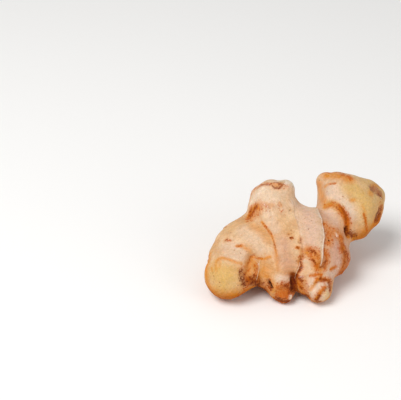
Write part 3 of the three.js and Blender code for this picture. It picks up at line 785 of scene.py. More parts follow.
@dataclass
class SeenSkin:
    """A skin that the photograph's camera sees, on which paths are laid, in millimetres."""

    mesh: bpy.types.Mesh
    camera: PhotoCamera = field(default_factory=PhotoCamera)
    trace_step: float = 1.2
    shelter_rays: int = 32
    shelter_reach: float = 14.0
    shelter_start: float = 0.3
    search_depth: int = 60
    search_step: int = 3

    def __post_init__(self) -> None:
        """Reads the surface."""
        corners = [vertex.co / MM for vertex in self.mesh.vertices]
        self.tree = BVHTree.FromPolygons(corners, [tuple(face.vertices) for face in self.mesh.polygons])

    def land(self, place: Values) -> Vector:
        """Finds the skin under a pixel or nearest to a point.

        Args:
            place: A pixel of the photograph's frame, or a point in millimetres.

        Returns:
            A place on the skin. For a pixel beside the root, it is the skin nearest to its line of sight.
        """
        if len(place) == 3:
            return self.tree.find_nearest(Vector(place))[0]
        start = self.camera.location / MM
        way = self.camera.direction(place)
        under = self.tree.ray_cast(start, way)[0]
        if under is not None:
            return under
        middle = start + way * (self.camera.distance / MM)
        depths = range(-self.search_depth, self.search_depth + 1, self.search_step)
        hits = [self.tree.find_nearest(middle + way * depth) for depth in depths]
        return min(hits, key=lambda hit: hit[3])[0]

    def trace(self, path: Path) -> Points:
        """Lays a path on the skin as a smooth curve.

        Args:
            path: Pixels of the photograph's frame, or points in millimetres.

        Returns:
            Close points along the curve, in millimetres.
        """
        stations = np.array(path, float)
        if len(stations) > 1:
            length = np.linalg.norm(np.diff(stations, axis=0), axis=1).sum()
            stations = catmull_rom(stations, math.ceil(length / self.trace_step))
        return np.array([self.land(place) for place in stations])

    def shelter(self, points: Points, outward: Points) -> Values:
        """How much of the room in front of each point the root itself takes up.

        Args:
            points: Places on the skin.
            outward: The way out of the skin there.

        Returns:
            Values from 0, open, to 1, enclosed.
        """
        height = 1 - 2 * (np.arange(self.shelter_rays) + 0.5) / self.shelter_rays
        spread = np.sqrt(1 - height**2)
        angle = GOLDEN_ANGLE * np.arange(self.shelter_rays)
        rays = np.stack([spread * np.cos(angle), spread * np.sin(angle), height], axis=1)
        lean = outward @ rays.T
        shut = np.zeros(len(points))
        for row, (point, out) in enumerate(zip(points, outward)):
            start = Vector(point + self.shelter_start * out)
            for ray in np.flatnonzero(lean[row] > 0):
                far = self.tree.ray_cast(start, Vector(rays[ray]), self.shelter_reach)[3]
                if far is not None:
                    shut[row] += lean[row, ray] * (1 - far / self.shelter_reach)
        return shut / np.maximum(lean, 0).sum(axis=1)


def distance_to(points: Points, path: Points, reach: float, end_width: float = 1.0) -> Values:
    """How far each point is from a path.

    Args:
        points: Places in millimetres.
        path: Points along the path.
        reach: Distance past which none is measured.
        end_width: Width of the path's ends as a share of its middle. Distances grow as the path narrows.

    Returns:
        The distances, without end past the reach.
    """
    low, high = path.min(axis=0) - reach, path.max(axis=0) + reach
    near = np.flatnonzero(((points > low) & (points < high)).all(axis=1))
    starts = path[:-1] if len(path) > 1 else path
    stretches = np.diff(path, axis=0) if len(path) > 1 else np.zeros((1, 3))
    nearest = np.full(len(near), np.inf)
    for index, (start, stretch) in enumerate(zip(starts, stretches)):
        offset = points[near] - start
        foot = np.clip(offset @ stretch / max(stretch @ stretch, TINY), 0, 1)
        width = end_width + (1 - end_width) * math.sin(math.pi * (index + 0.5) / len(starts))
        nearest = np.minimum(nearest, np.linalg.norm(offset - foot[:, None] * stretch, axis=1) / width)
    distance = np.full(len(points), np.inf)
    distance[near] = nearest
    return distance


@dataclass
class SkinSheet:
    """The fine skin's vertices on the plain lobes, in millimetres, with what is known at each."""

    lobes: PlainSkin
    plain: Points
    shelter: Values
    lay_rounds: int = 3
    lay_step: float = 3.0
    zones: dict[Zone, Values] = field(init=False)
    height: Values = field(init=False)

    def __post_init__(self) -> None:
        """Works out the way out of the skin and starts without colour and relief."""
        self.reading = self.lobes.read(self.plain)
        self.outward = self.reading.slope / np.linalg.norm(self.reading.slope, axis=1)[:, None]
        self.zones = {zone: np.zeros(len(self.plain)) for zone in Zone}
        self.height = np.zeros(len(self.plain))

    def lay(self, path: Points) -> Points:
        """Lays a path on the plain lobes."""
        return self.lobes.onto(path, self.lay_rounds, self.lay_step)


@dataclass
class Relief:
    """Height of the fine skin over the plain lobes, in millimetres."""

    ring_swell: float = 9.0
    ring_drop: float = 0.8
    ring_fade: float = 5.0
    ring_waver: float = 0.2
    waver_length: float = 22.0
    waver_shear: float = 0.5
    waver_phase: float = 1.0
    ring_ragged: float = 0.25
    ragged_length: float = 2.6
    ragged_seed: int = 3
    lump_height: float = 0.6
    lump_length: float = 17.0
    lump_shears: tuple[float, float] = (0.4, 0.3)
    lump_phases: tuple[float, float] = (0.8, 0.5)
    wrinkle_height: float = 0.08
    wrinkle_length: float = 2.1
    wrinkle_seed: int = 5
    dent_height: float = 0.3
    dent_length: float = 6.5
    dent_seed: int = 7
    crust_height: float = 0.3
    crust_length: float = 1.3
    crust_seed: int = 9
    full_mark: float = 0.8
    crust_zones: tuple[Zone, ...] = (Zone.RUST, Zone.SCAR, Zone.CALLUS)
    mark_depths: dict[Zone, float] = field(default_factory=lambda: {
        Zone.PIT: 1.0, Zone.LINE: 0.25, Zone.SCAR: 0.2, Zone.RUST: 0.1, Zone.BRUISE_AND_SHADOW: 0.2, Zone.PAPER: -0.2})

    def ring_place(self, points: Points, ring: RingScar) -> Values:
        """How far each point lies past a ring scar, along the way its lobe grew."""
        x, y, z = points.T
        turn = 2 * math.pi / self.waver_length
        first = np.sin(turn * (x + self.waver_shear * z))
        waver = (first + np.sin(turn * (y - z) + self.waver_phase)) / 2
        ragged = self.ring_ragged * unevenness(points, self.ragged_length, self.ragged_seed)
        return (points - ring.at) @ ring.normal + self.ring_waver * waver + ragged

    def ring_strength(self, points: Points, ring: RingScar) -> Values:
        """How much of a ring scar is left at each point: it dies out at its reach."""
        far = np.linalg.norm(points - ring.at, axis=1)
        return 1 - smoothstep(far, ring.reach - self.ring_fade, ring.reach)

    def ring_fall(self, points: Points, ring: RingScar) -> Values:
        """How far the skin has dropped just past a ring scar."""
        drop = smoothstep(self.ring_place(points, ring), 0, self.ring_drop)
        return ring.step * drop * self.ring_strength(points, ring)

    def rings(self, points: Points) -> Values:
        """The skin swells towards each ring scar and drops just past it."""
        height = np.zeros(len(points))
        for ring in RING_SCARS:
            swell = smoothstep(self.ring_place(points, ring), -self.ring_swell, 0)
            height += ring.step * swell * self.ring_strength(points, ring) - self.ring_fall(points, ring)
        return height

    def lumps(self, points: Points) -> Values:
        """Gentle lumps of the whole skin."""
        x, y, z = points.T
        turn = 2 * math.pi / self.lump_length
        lean, tilt = self.lump_shears
        level_phase, height_phase = self.lump_phases
        across = np.sin(turn * (x + lean * z)) * np.sin(turn * (y - tilt * x) + level_phase)
        return self.lump_height * across * np.cos(turn * z + height_phase)

    def wrinkles(self, points: Points, grain: Points) -> Values:
        """Fine wrinkles along the growth, with shallow dents."""
        fine = self.wrinkle_height * unevenness(grain, self.wrinkle_length, self.wrinkle_seed)
        return fine + self.dent_height * unevenness(points, self.dent_length, self.dent_seed)

    def marks(self, sheet: SkinSheet) -> Values:
        """Sunken marks, and a crust on rusty ones."""
        height = np.zeros(len(sheet.plain))
        for zone, depth in self.mark_depths.items():
            height -= depth * smoothstep(sheet.zones[zone], 0, self.full_mark)
        crust = np.max([sheet.zones[zone] for zone in self.crust_zones], axis=0)
        uneven = unevenness(sheet.plain, self.crust_length, self.crust_seed)
        return height + self.crust_height * crust * uneven

    def folds(self, sheet: SkinSheet, skin: SeenSkin) -> Values:
        """Creases and swellings along the folds."""
        height = np.zeros(len(sheet.plain))
        for fold in FOLDS.values():
            far = distance_to(sheet.plain, sheet.lay(skin.trace(fold.path)), fold.radius)
            height -= fold.depth * smoothstep(1 - far / fold.radius, 0, 1)
        return height

    def total(self, sheet: SkinSheet, skin: SeenSkin) -> Values:
        """All of the relief together."""
        points = sheet.plain
        return (self.rings(points) + self.lumps(points) + self.wrinkles(points, sheet.reading.grain)
                + self.marks(sheet) + self.folds(sheet, skin))


@dataclass(frozen=True)
class Ramp:
    """A soft rise from nothing at low to an amount at high."""

    low: float
    high: float
    amount: float = 1.0

    def of(self, values: Values) -> Values:
        """The amount at each value."""
        return self.amount * smoothstep(values, self.low, self.high)


@dataclass(frozen=True)
class GrowthColours:
    """How the lobes are coloured by their place.

    The ramps run over millimetres past a ring scar, along +X or up from the table, over how sheltered the
    skin is, and over how far it faces down. The shelter and facing-down ramps paint shade in amber and
    brown into hollows and onto undersides.
    """

    finger_wax: Ramp = Ramp(-2, 9, 0.5)
    long_finger_wax: Ramp = Ramp(26, 38, 0.7)
    back_bud_wax: Ramp = Ramp(0, 3, 0.8)
    heel_wax: Ramp = Ramp(0, 4, 0.7)
    second_ring: Ramp = Ramp(-0.4, 0.4)
    papery_ring: Ramp = Ramp(-0.2, 0.3)
    bulge_blush: Ramp = Ramp(0, 0.8, 0.9)
    stub_pale: float = 0.4
    scale_pale: float = 0.8
    finger_pale: float = 0.3
    body_sand: float = 0.3
    # Painted shade: amber and brown that grow with shelter and where the skin faces down.
    sheltered_amber_shade: Ramp = Ramp(0.12, 0.45, 0.8)
    underside_amber_shade: Ramp = Ramp(-0.25, 0.4)
    sheltered_painted_shade: Ramp = Ramp(0.25, 0.6, 0.9)
    underside_painted_shade: Ramp = Ramp(0.05, 0.6, 0.8)
    # Noise that breaks up the painted shade on undersides.
    shade_breakup_level: float = 0.75
    shade_breakup_swing: float = 0.4
    shade_breakup_length: float = 7.0
    shade_breakup_seed: int = 21
    least_specks: float = 0.08
    low_specks: float = 0.4
    low_specks_end: Ramp = Ramp(2, 11)
    bud_rust: Ramp = Ramp(0, 2)

    def paint(self, sheet: SkinSheet, relief: Relief) -> None:
        """Colours each lobe by where it is on the root, and paints shade in amber and brown where it is
        sheltered or faces down.

        Args:
            sheet: The skin whose zones are filled.
            relief: Where the ring scars lie.
        """
        share = sheet.reading.shares
        body = share[LobeName.BODY]
        fingers = share[LobeName.LONG_FINGER] + share[LobeName.FINGER_CROWN]
        past = partial(relief.ring_place, sheet.plain)
        down = -sheet.outward[:, 2]
        uneven = unevenness(sheet.plain, self.shade_breakup_length, self.shade_breakup_seed)
        broken = self.shade_breakup_level + self.shade_breakup_swing * uneven
        past_second = self.second_ring.of(past(SECOND_BODY_RING))
        scale = past_second * (1 - self.papery_ring.of(past(PAPERY_RING))) * body
        pale = self.stub_pale * share[LobeName.STEM_STUB] + self.scale_pale * scale
        pale = pale + self.finger_pale * fingers
        # Painted shade in amber and brown, from shelter and from facing down, broken up by noise.
        amber = self.sheltered_amber_shade.of(sheet.shelter) + broken * self.underside_amber_shade.of(down)
        painted_shade_brown = self.sheltered_painted_shade.of(sheet.shelter) + broken * self.underside_painted_shade.of(down)
        near_table = 1 - self.low_specks_end.of(sheet.plain[:, 2])
        sheet.zones |= {
            Zone.WAX: share[LobeName.ROUNDED_FINGER] * self.finger_wax.of(past(FINGER_TIP_RING))
            + fingers * self.long_finger_wax.of(sheet.plain[:, 0])
            + share[LobeName.BACK_BUD] * self.back_bud_wax.of(past(BACK_BUD_RING))
            + share[LobeName.HEEL] * self.heel_wax.of(past(HEEL_RING)),
            Zone.BLUSH: body * self.bulge_blush.of(past(PAPERY_RING)),
            Zone.PALE: np.clip(pale, 0, 1),
            Zone.SAND: self.body_sand * body * (1 - past_second),
            Zone.AMBER: np.clip(amber, 0, 1),
            Zone.PAINTED_SHADE_BROWN: np.clip(painted_shade_brown, 0, 1),
            Zone.SPECKLE: self.least_specks + self.low_specks * near_table,
            Zone.RUST: share[LobeName.FRONT_BUD] * self.bud_rust.of(past(FRONT_BUD_RING)),
        }


@dataclass(frozen=True)
class Blemish:
    """A kind of mark that is scattered over hidden sides, in millimetres."""

    zone: Zone
    amount: float
    radius: float
    length: float
    count: int


@dataclass
class Brush:
    """Paints the marks and the growth colours, painted shade and highlight among them, on the skin."""

    halo_reach: float = 2.6
    halo_share: float = 0.4
    line_end: float = 0.4
    full_cover: float = 0.9
    clearing: float = 0.8
    growth: GrowthColours = GrowthColours()
    seed: int = 20
    hidden_lean: float = -0.1
    hidden_floor: float = 3.0
    blemishes: tuple[Blemish, ...] = (
        Blemish(Zone.LINE, 0.8, 0.9, 5, 10),
        Blemish(Zone.AMBER, 0.6, 4.0, 7, 10),
        Blemish(Zone.RUST, 0.7, 3.5, 7, 10),
        Blemish(Zone.SCAR, 0.6, 2.0, 4, 6),
        Blemish(Zone.PIT, 0.8, 0.7, 0.6, 5),
        Blemish(Zone.SPECKLE, 1.0, 6.0, 7, 10),
        Blemish(Zone.SAND, 0.8, 6.0, 10, 6),
        Blemish(Zone.PALE, 0.8, 6.0, 10, 6),
    )

    def stroke(self, sheet: SkinSheet, mark: Mark | Blemish, path: Points) -> None:
        """Lays one mark on the skin.

        Args:
            sheet: The skin whose zones take the mark.
            mark: Its zone, amount and radius.
            path: Points along it in millimetres.
        """
        reach = mark.radius * self.halo_reach if mark.zone in HALO_ZONES else mark.radius
        end_width = self.line_end if mark.zone is Zone.LINE else 1.0
        far = distance_to(sheet.plain, sheet.lay(path), reach, end_width)
        cover = np.clip(1 - far / mark.radius, 0, 1)
        if mark.zone in SOFT_ZONES:
            cover = smoothstep(cover, 0, self.full_cover)
        # Cream and pale clear the amber and the painted shade under them.
        if mark.zone in CLEAN_ZONES:
            for zone in AMBER_AND_SHADE_ZONES:
                sheet.zones[zone] *= 1 - self.clearing * mark.amount * cover
        sheet.zones[mark.zone] = np.maximum(sheet.zones[mark.zone], mark.amount * cover)
        if mark.zone in HALO_ZONES:
            halo = self.halo_share * mark.amount * smoothstep(1 - far / reach, 0, 1)
            sheet.zones[Zone.AMBER] = np.maximum(sheet.zones[Zone.AMBER], halo)

    def scatter(self, sheet: SkinSheet, skin: SeenSkin) -> None:
        """Draws blemishes at random, from a fixed seed, on the sides that the photograph doesn't show."""
        draw = np.random.default_rng(self.seed)
        hidden = sheet.outward @ -np.array(skin.camera.ahead) < self.hidden_lean
        spots = np.flatnonzero(hidden & (sheet.plain[:, 2] > self.hidden_floor))
        for blemish in self.blemishes:
            for spot in draw.choice(spots, blemish.count, replace=False):
                across = np.cross(sheet.outward[spot], draw.normal(size=3))
                across *= blemish.length / 2 / np.linalg.norm(across)
                middle = sheet.plain[spot]
                self.stroke(sheet, blemish, skin.trace((middle - across, middle, middle + across)))

    def paint(self, sheet: SkinSheet, skin: SeenSkin, relief: Relief) -> None:
        """Paints the whole skin.

        Args:
            sheet: The skin whose zones are filled.
            skin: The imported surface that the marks' paths are laid on.
            relief: Where the ring scars lie.
        """
        self.growth.paint(sheet, relief)
        self.scatter(sheet, skin)
        for mark in MARKS.values():
            self.stroke(sheet, mark, skin.trace(mark.path))


@dataclass(frozen=True)
class Noise:
    """A shader noise: its humps to a metre, its octaves and how strong the fine ones are."""

    scale: float
    detail: float = 3.0
    roughness: float = 0.55


@dataclass(frozen=True)
class Tint:
    """How a zone colours the skin: its colour, how much of it shows, and how ragged its edge is."""

    colour: Colour
    amount: float
    raggedness: float = 0.0


class Graph:
    """A short hand for the nodes of one shader tree."""

    def __init__(self, tree: bpy.types.NodeTree) -> None:
        """Takes the tree that the nodes go in."""
        self.tree = tree

    def node(self, kind: str, **settings: object) -> bpy.types.Node:
        """A new node with its settings."""
        made = self.tree.nodes.new(kind)
        for name, value in settings.items():
            setattr(made, name, value)
        return made

    def feed(self, socket: Socket, value: Feed) -> None:
        """Links a socket to another, or gives it a value."""
        if isinstance(value, bpy.types.NodeSocket):
            self.tree.links.new(value, socket)
        else:
            socket.default_value = value

    def feeds(self, node: bpy.types.Node, inputs: dict[str, Feed]) -> None:
        """Feeds several inputs of a node by their names."""
        for name, value in inputs.items():
            self.feed(node.inputs[name], value)

    def attribute(self, name: str, output: str = "Fac") -> Socket:
        """A value that is stored on the vertices."""
        return self.node("ShaderNodeAttribute", attribute_name=name).outputs[output]

    def math(self, operation: str, first: Feed, second: Feed = 0.0) -> Socket:
        """One step of arithmetic on one or two values."""
        made = self.node("ShaderNodeMath", operation=operation)
        self.feed(made.inputs[0], first)
        self.feed(made.inputs[1], second)
        return made.outputs[0]

    def times(self, first: Socket, *others: Feed) -> Socket:
        """The product of several values."""
        for other in others:
            first = self.math("MULTIPLY", first, other)
        return first

    def remap(self, value: Feed, low: Feed, high: Feed, start: float = 0.0, end: float = 1.0) -> Socket:
        """A soft change from start at low to end at high."""
        made = self.node("ShaderNodeMapRange", interpolation_type="SMOOTHSTEP")
        for socket, given in zip(made.inputs, (value, low, high, start, end)):
            self.feed(socket, given)
        return made.outputs[0]

    def mix(self, share: Feed, first: Feed, second: Feed) -> Socket:
        """One colour run into another."""
        made = self.node("ShaderNodeMix", data_type="RGBA")
        for index, given in zip(MIX_INPUTS, (share, first, second)):
            self.feed(made.inputs[index], given)
        return made.outputs[MIX_RESULT]

    def tint(self, colour: Socket, share: Socket, over: Tint) -> Socket:
        """Lays a share of a tint over a colour."""
        return self.mix(self.times(share, over.amount), colour, over.colour)

    def noise(self, vector: Socket, noise: Noise) -> Socket:
        """Noise over a vector, from about 0.25 to 0.75."""
        made = self.node("ShaderNodeTexNoise")
        self.feeds(made, {
            "Vector": vector, "Scale": noise.scale, "Detail": noise.detail, "Roughness": noise.roughness})
        return made.outputs["Fac"]

    def centred(self, vector: Socket, noise: Noise) -> Socket:
        """Noise over a vector, on both sides of 0."""
        return self.math("SUBTRACT", self.noise(vector, noise), NOISE_MIDDLE)

    def group(self, tree: bpy.types.NodeTree, inputs: dict[str, Feed]) -> bpy.types.Node:
        """A shared node group with its inputs."""
        made = self.node("ShaderNodeGroup", node_tree=tree)
        self.feeds(made, inputs)
        return made


def principled(name: str) -> tuple[bpy.types.Material, Graph, bpy.types.Node]:
    """A new material, a hand for its nodes, and its Principled shader."""
    made = bpy.data.materials.new(name)
    made.use_nodes = True
    return made, Graph(made.node_tree), made.node_tree.nodes["Principled BSDF"]


class Effect:
    """A shared shader effect: a node group that gives masks and values."""

    name: ClassVar[str]
    inputs: ClassVar[dict[str, str]]
    outputs: ClassVar[tuple[str, ...]] = ("Patch",)

    def build(self, graph: Graph, given: Sockets) -> Sockets:
        """Makes the group's nodes.

        Args:
            graph: A hand for its nodes.
            given: Its inputs by name.

        Returns:
            Its outputs by name.
        """
        raise NotImplementedError

    def tree(self) -> bpy.types.NodeTree:
        """Makes the group."""
        tree = bpy.data.node_groups.new(self.name, "ShaderNodeTree")
        for label, kind in self.inputs.items():
            tree.interface.new_socket(label, in_out="INPUT", socket_type=kind)
        for label in self.outputs:
            tree.interface.new_socket(label, in_out="OUTPUT", socket_type=FLOAT)
        graph = Graph(tree)
        given = graph.node("NodeGroupInput").outputs
        end = graph.node("NodeGroupOutput")
        graph.feeds(end, self.build(graph, {label: given[label] for label in self.inputs}))
        return tree


@dataclass(frozen=True)
class RaggedPatch(Effect):
    """Turns a soft mask into flecks and strokes with ragged edges on a faint stain."""

    name: ClassVar[str] = "ragged patch"
    inputs: ClassVar[dict[str, str]] = {
        "Mask": FLOAT, "Place": VECTOR, "Grain": VECTOR, "Raggedness": FLOAT}
    strokes: Noise = Noise(620, 3.0, 0.6)
    flecks: Noise = Noise(1300, 4.0, 0.7)
    density: Noise = Noise(2100, 2.0, 0.6)
    density_range: Change = (0.35, 0.65, 0.62, 1.0)
    core: float = 0.8
    core_range: Change = (0.28, 0.5)
    stain: float = 0.4
    inside_range: Change = (0.0, 0.12)

    def build(self, graph: Graph, given: Sockets) -> Sockets:
        """Shifts the mask by noise and cuts it."""
        strokes = graph.centred(given["Grain"], self.strokes)
        flecks = graph.centred(given["Place"], self.flecks)
        uneven = graph.times(graph.math("ADD", strokes, flecks), given["Raggedness"])
        core = graph.times(given["Mask"], self.core)
        density = graph.remap(graph.noise(given["Place"], self.density), *self.density_range)
        cut = graph.times(graph.remap(graph.math("ADD", core, uneven), *self.core_range), density)
        stain = graph.times(given["Mask"], self.stain)
        inside = graph.remap(given["Mask"], *self.inside_range)
        return {"Patch": graph.times(graph.math("MAXIMUM", stain, cut), inside)}


@dataclass(frozen=True)
class SoftPatch(Effect):
    """Clouds and streaks a soft mask."""

    name: ClassVar[str] = "soft patch"
    inputs: ClassVar[dict[str, str]] = {"Mask": FLOAT, "Place": VECTOR, "Grain": VECTOR}
    clouds: Noise = Noise(300, 4.0, 0.65)
    cloud_range: Change = (0.34, 0.64, 0.86, 1.06)
    streaks: Noise = Noise(560, 3.0, 0.65)
    streak_range: Change = (0.36, 0.62, 0.84, 1.08)

    def build(self, graph: Graph, given: Sockets) -> Sockets:
        """Weakens the mask here and there."""
        cloud = graph.remap(graph.noise(given["Place"], self.clouds), *self.cloud_range)
        streak = graph.remap(graph.noise(given["Grain"], self.streaks), *self.streak_range)
        return {"Patch": graph.times(cloud, streak, given["Mask"])}


@dataclass(frozen=True)
class PaperyGrain(Effect):
    """The papery grain of the skin: fine fibres along the growth, with flecks and scurf."""

    name: ClassVar[str] = "papery grain"
    inputs: ClassVar[dict[str, str]] = {"Grain": VECTOR, "Place": VECTOR}
    outputs: ClassVar[tuple[str, ...]] = ("Shade", "Height", "Flecks", "Scurf")
    broad: Noise = Noise(800, 3.0, 0.65)
    broad_share: float = 0.6
    fine: Noise = Noise(2100, 2.0, 0.6)
    fine_share: float = 0.4
    shade_range: Change = (0.36, 0.64)
    flecks: Noise = Noise(1100, 2.0, 0.6)
    scurf: Noise = Noise(1500, 3.0, 0.7)
    fleck_range: Change = (0.58, 0.68)

    def build(self, graph: Graph, given: Sockets) -> Sockets:
        """Two scales of fibres, and what lies on them."""
        broad = graph.times(graph.noise(given["Grain"], self.broad), self.broad_share)
        fine = graph.times(graph.noise(given["Grain"], self.fine), self.fine_share)
        both = graph.math("ADD", broad, fine)
        return {
            "Shade": graph.remap(both, *self.shade_range),
            "Height": both,
            "Flecks": graph.remap(graph.noise(given["Grain"], self.flecks), *self.fleck_range),
            "Scurf": graph.remap(graph.noise(given["Place"], self.scurf), *self.fleck_range),
        }


@dataclass(frozen=True)
class Specks(Effect):
    """Scatters small uneven specks."""

    name: ClassVar[str] = "specks"
    inputs: ClassVar[dict[str, str]] = {"Place": VECTOR, "Amount": FLOAT}
    outputs: ClassVar[tuple[str, ...]] = ("Specks",)
    cell_scale: float = 640
    edge: Noise = Noise(1600)
    edge_amount: float = 0.8
    dot_range: Change = (0.14, 0.32, 1.0, 0.0)
    most_drawn: float = 0.7
    strength_range: Change = (0.0, 1.0, 0.25, 1.0)

    def build(self, graph: Graph, given: Sockets) -> Sockets:
        """A dot in each cell that is drawn by lot."""
        cells = graph.node("ShaderNodeTexVoronoi")
        graph.feeds(cells, {"Vector": given["Place"], "Scale": self.cell_scale})
        ragged = graph.times(graph.centred(given["Place"], self.edge), self.edge_amount)
        dots = graph.remap(graph.math("ADD", cells.outputs["Distance"], ragged), *self.dot_range)
        lot = graph.node("ShaderNodeSeparateColor")
        graph.feed(lot.inputs[0], cells.outputs["Color"])
        drawn = graph.math("LESS_THAN", lot.outputs[0], graph.times(given["Amount"], self.most_drawn))
        strength = graph.remap(lot.outputs[1], *self.strength_range)
        return {"Specks": graph.times(dots, drawn, strength)}


@dataclass(frozen=True)
class SharedGroups:
    """Shader effects that more than one zone or finish uses."""

    ragged: bpy.types.NodeTree = field(default_factory=RaggedPatch().tree)
    soft: bpy.types.NodeTree = field(default_factory=SoftPatch().tree)
    grain: bpy.types.NodeTree = field(default_factory=PaperyGrain().tree)
    specks: bpy.types.NodeTree = field(default_factory=Specks().tree)


@dataclass(frozen=True)
class SkinFinish:
    """The skin's colours: papery cream and tan with pink and yellow zones and brown marks. Amber and brown
    tints also paint shade into hollows and onto undersides, and cream paints a highlight on the stub.
    """

    groups: SharedGroups
    skin: Colour = srgb(212, 164, 116)
    light_skin: Colour = srgb(228, 190, 148)
    clouds: Noise = Noise(130, 5.0, 0.62)
    cloud_range: Change = (0.38, 0.62)
    scurf: Tint = Tint(srgb(248, 228, 204), 0.32)
    fleck: Tint = Tint(srgb(196, 126, 62), 0.34)
    speck: Tint = Tint(srgb(150, 74, 26), 0.75)
    ring: Tint = Tint(srgb(156, 76, 26), 0.8)
    ring_offset: float = 0.25
    ring_range: Change = (0.1, 0.4, 1.0, 0.0)
    ring_wobble: Noise = Noise(420, 3.0, 0.6)
    ring_wobble_amount: float = 0.9
    shade_range: Change = (0.9, 1.06)
    roughness_range: Change = (0.56, 0.42)
    grain_roughness: float = 0.08
    specular: float = 0.06
    bump_depth: float = 0.0002
    subsurface: float = 0.15
    subsurface_reach: tuple[float, float, float] = (0.0035, 0.0016, 0.0007)
    subsurface_scale: float = 1.0
    ground: dict[Zone, Tint] = field(default_factory=lambda: {
        Zone.SAND: Tint(srgb(208, 160, 106), 0.8),
        # Cream is also the painted highlight on the stub's face.
        Zone.CREAM: Tint(srgb(226, 196, 162), 1.0),
        Zone.PALE: Tint(srgb(224, 196, 172), 1.0),
        Zone.BLUSH: Tint(srgb(205, 156, 134), 1.0),
        Zone.WAX: Tint(srgb(214, 172, 98), 0.95),
    })
    # Amber is the skin's orange and also painted shade; the brown tint is painted shade in hollows and on
    # undersides.
    amber_and_painted_shade: dict[Zone, Tint] = field(default_factory=lambda: {
        Zone.AMBER: Tint(srgb(214, 130, 20), 1.05),
        Zone.PAINTED_SHADE_BROWN: Tint(srgb(172, 86, 10), 1.1),
    })
    blemishes: dict[Zone, Tint] = field(default_factory=lambda: {
        Zone.RUST: Tint(srgb(188, 86, 6), 0.9, 3.0),
        Zone.CALLUS: Tint(srgb(156, 98, 72), 0.9, 1.8),
        Zone.LINE: Tint(srgb(150, 66, 16), 0.9, 1.5),
        Zone.SCAR: Tint(srgb(122, 46, 12), 0.9, 2.1),
        # The bruise tint also paints the shadow deep in gaps and the crotch.
        Zone.BRUISE_AND_SHADOW: Tint(srgb(104, 40, 20), 0.92, 2.4),
        Zone.PAPER: Tint(srgb(244, 226, 204), 0.9, 1.4),
        Zone.PIT: Tint(srgb(44, 20, 10), 1.0, 1.0),
    })

    def lay(
        self, graph: Graph, colour: Socket, tints: dict[Zone, Tint], place: Socket, growth: Socket
    ) -> Socket:
        """Lays zones over a colour, ragged ones as flecks and the others as clouds.

        Args:
            graph: A hand for the material's nodes.
            colour: What they are laid on.
            tints: The zones and their colours.
            place: Object coordinates.
            growth: Coordinates along the growth.

        Returns:
            The tinted colour.
        """
        for zone, tint in tints.items():
            given = {"Mask": graph.attribute(zone.value), "Place": place, "Grain": growth}
            if tint.raggedness:
                patch = graph.group(self.groups.ragged, given | {"Raggedness": tint.raggedness})
            else:
                patch = graph.group(self.groups.soft, given)
            colour = graph.tint(colour, patch.outputs[0], tint)
        return colour

    def ring_line(self, graph: Graph, place: Socket) -> Socket:
        """The mask of the wobbly lines along the ring scars."""
        wobble = graph.times(graph.centred(place, self.ring_wobble), self.ring_wobble_amount)
        past = graph.math("SUBTRACT", graph.attribute("ring_place"), self.ring_offset)
        off_line = graph.math("ADD", graph.math("ABSOLUTE", past), wobble)
        return graph.times(graph.remap(off_line, *self.ring_range), graph.attribute("ring_line"))

    def material(self) -> bpy.types.Material:
        """Builds the skin material.

        Returns:
            A material that reads the zones stored on the vertices.
        """
        made, graph, shader = principled("ginger_skin")
        place = graph.node("ShaderNodeTexCoord").outputs["Object"]
        growth = graph.attribute("grain", "Vector")
        grain = graph.group(self.groups.grain, {"Grain": growth, "Place": place}).outputs
        amount = graph.attribute(Zone.SPECKLE.value)
        specks = graph.group(self.groups.specks, {"Place": place, "Amount": amount})

        cloud = graph.remap(graph.noise(place, self.clouds), *self.cloud_range)
        colour = graph.mix(cloud, self.skin, self.light_skin)
        colour = self.lay(graph, colour, self.ground, place, growth)
        colour = graph.tint(colour, grain["Scurf"], self.scurf)
        # Lays the amber and the painted shade.
        colour = self.lay(graph, colour, self.amber_and_painted_shade, place, growth)
        shaded = graph.node("ShaderNodeHueSaturation")
        shade = graph.remap(grain["Shade"], 0.0, 1.0, *self.shade_range)
        graph.feeds(shaded, {"Value": shade, "Color": colour})
        colour = graph.tint(shaded.outputs[0], grain["Flecks"], self.fleck)
        colour = graph.tint(colour, specks.outputs[0], self.speck)
        colour = graph.tint(colour, self.ring_line(graph, place), self.ring)
        colour = self.lay(graph, colour, self.blemishes, place, growth)

        smooth = graph.remap(graph.attribute(Zone.WAX.value), 0.0, 1.0, *self.roughness_range)
        bump = graph.node("ShaderNodeBump")
        graph.feeds(bump, {"Distance": self.bump_depth, "Height": grain["Height"]})
        graph.feeds(shader, {
            "Base Color": colour,
            "Roughness": graph.math("ADD", smooth, graph.times(grain["Shade"], self.grain_roughness)),
            "Normal": bump.outputs["Normal"],
            "Subsurface Weight": self.subsurface,
            "Subsurface Radius": self.subsurface_reach,
            "Subsurface Scale": self.subsurface_scale,
            "Specular IOR Level": self.specular,
        })
        return made


@dataclass(frozen=True)
class FibreFinish:
    """Dry root fibres: pale, with darker stretches."""

    groups: SharedGroups
    light: Colour = srgb(234, 210, 180)
    dark: Colour = srgb(208, 170, 130)
    roughness: float = 0.6
    specular: float = 0.16

    def material(self) -> bpy.types.Material:
        """Builds the fibre material."""
        made, graph, shader = principled("root_fibre")
        place = graph.node("ShaderNodeTexCoord").outputs["Object"]
        grain = graph.group(self.groups.grain, {"Grain": place, "Place": place})
        graph.feeds(shader, {
            "Base Color": graph.mix(grain.outputs["Shade"], self.dark, self.light),
            "Roughness": self.roughness,
            "Specular IOR Level": self.specular,
        })
        return made


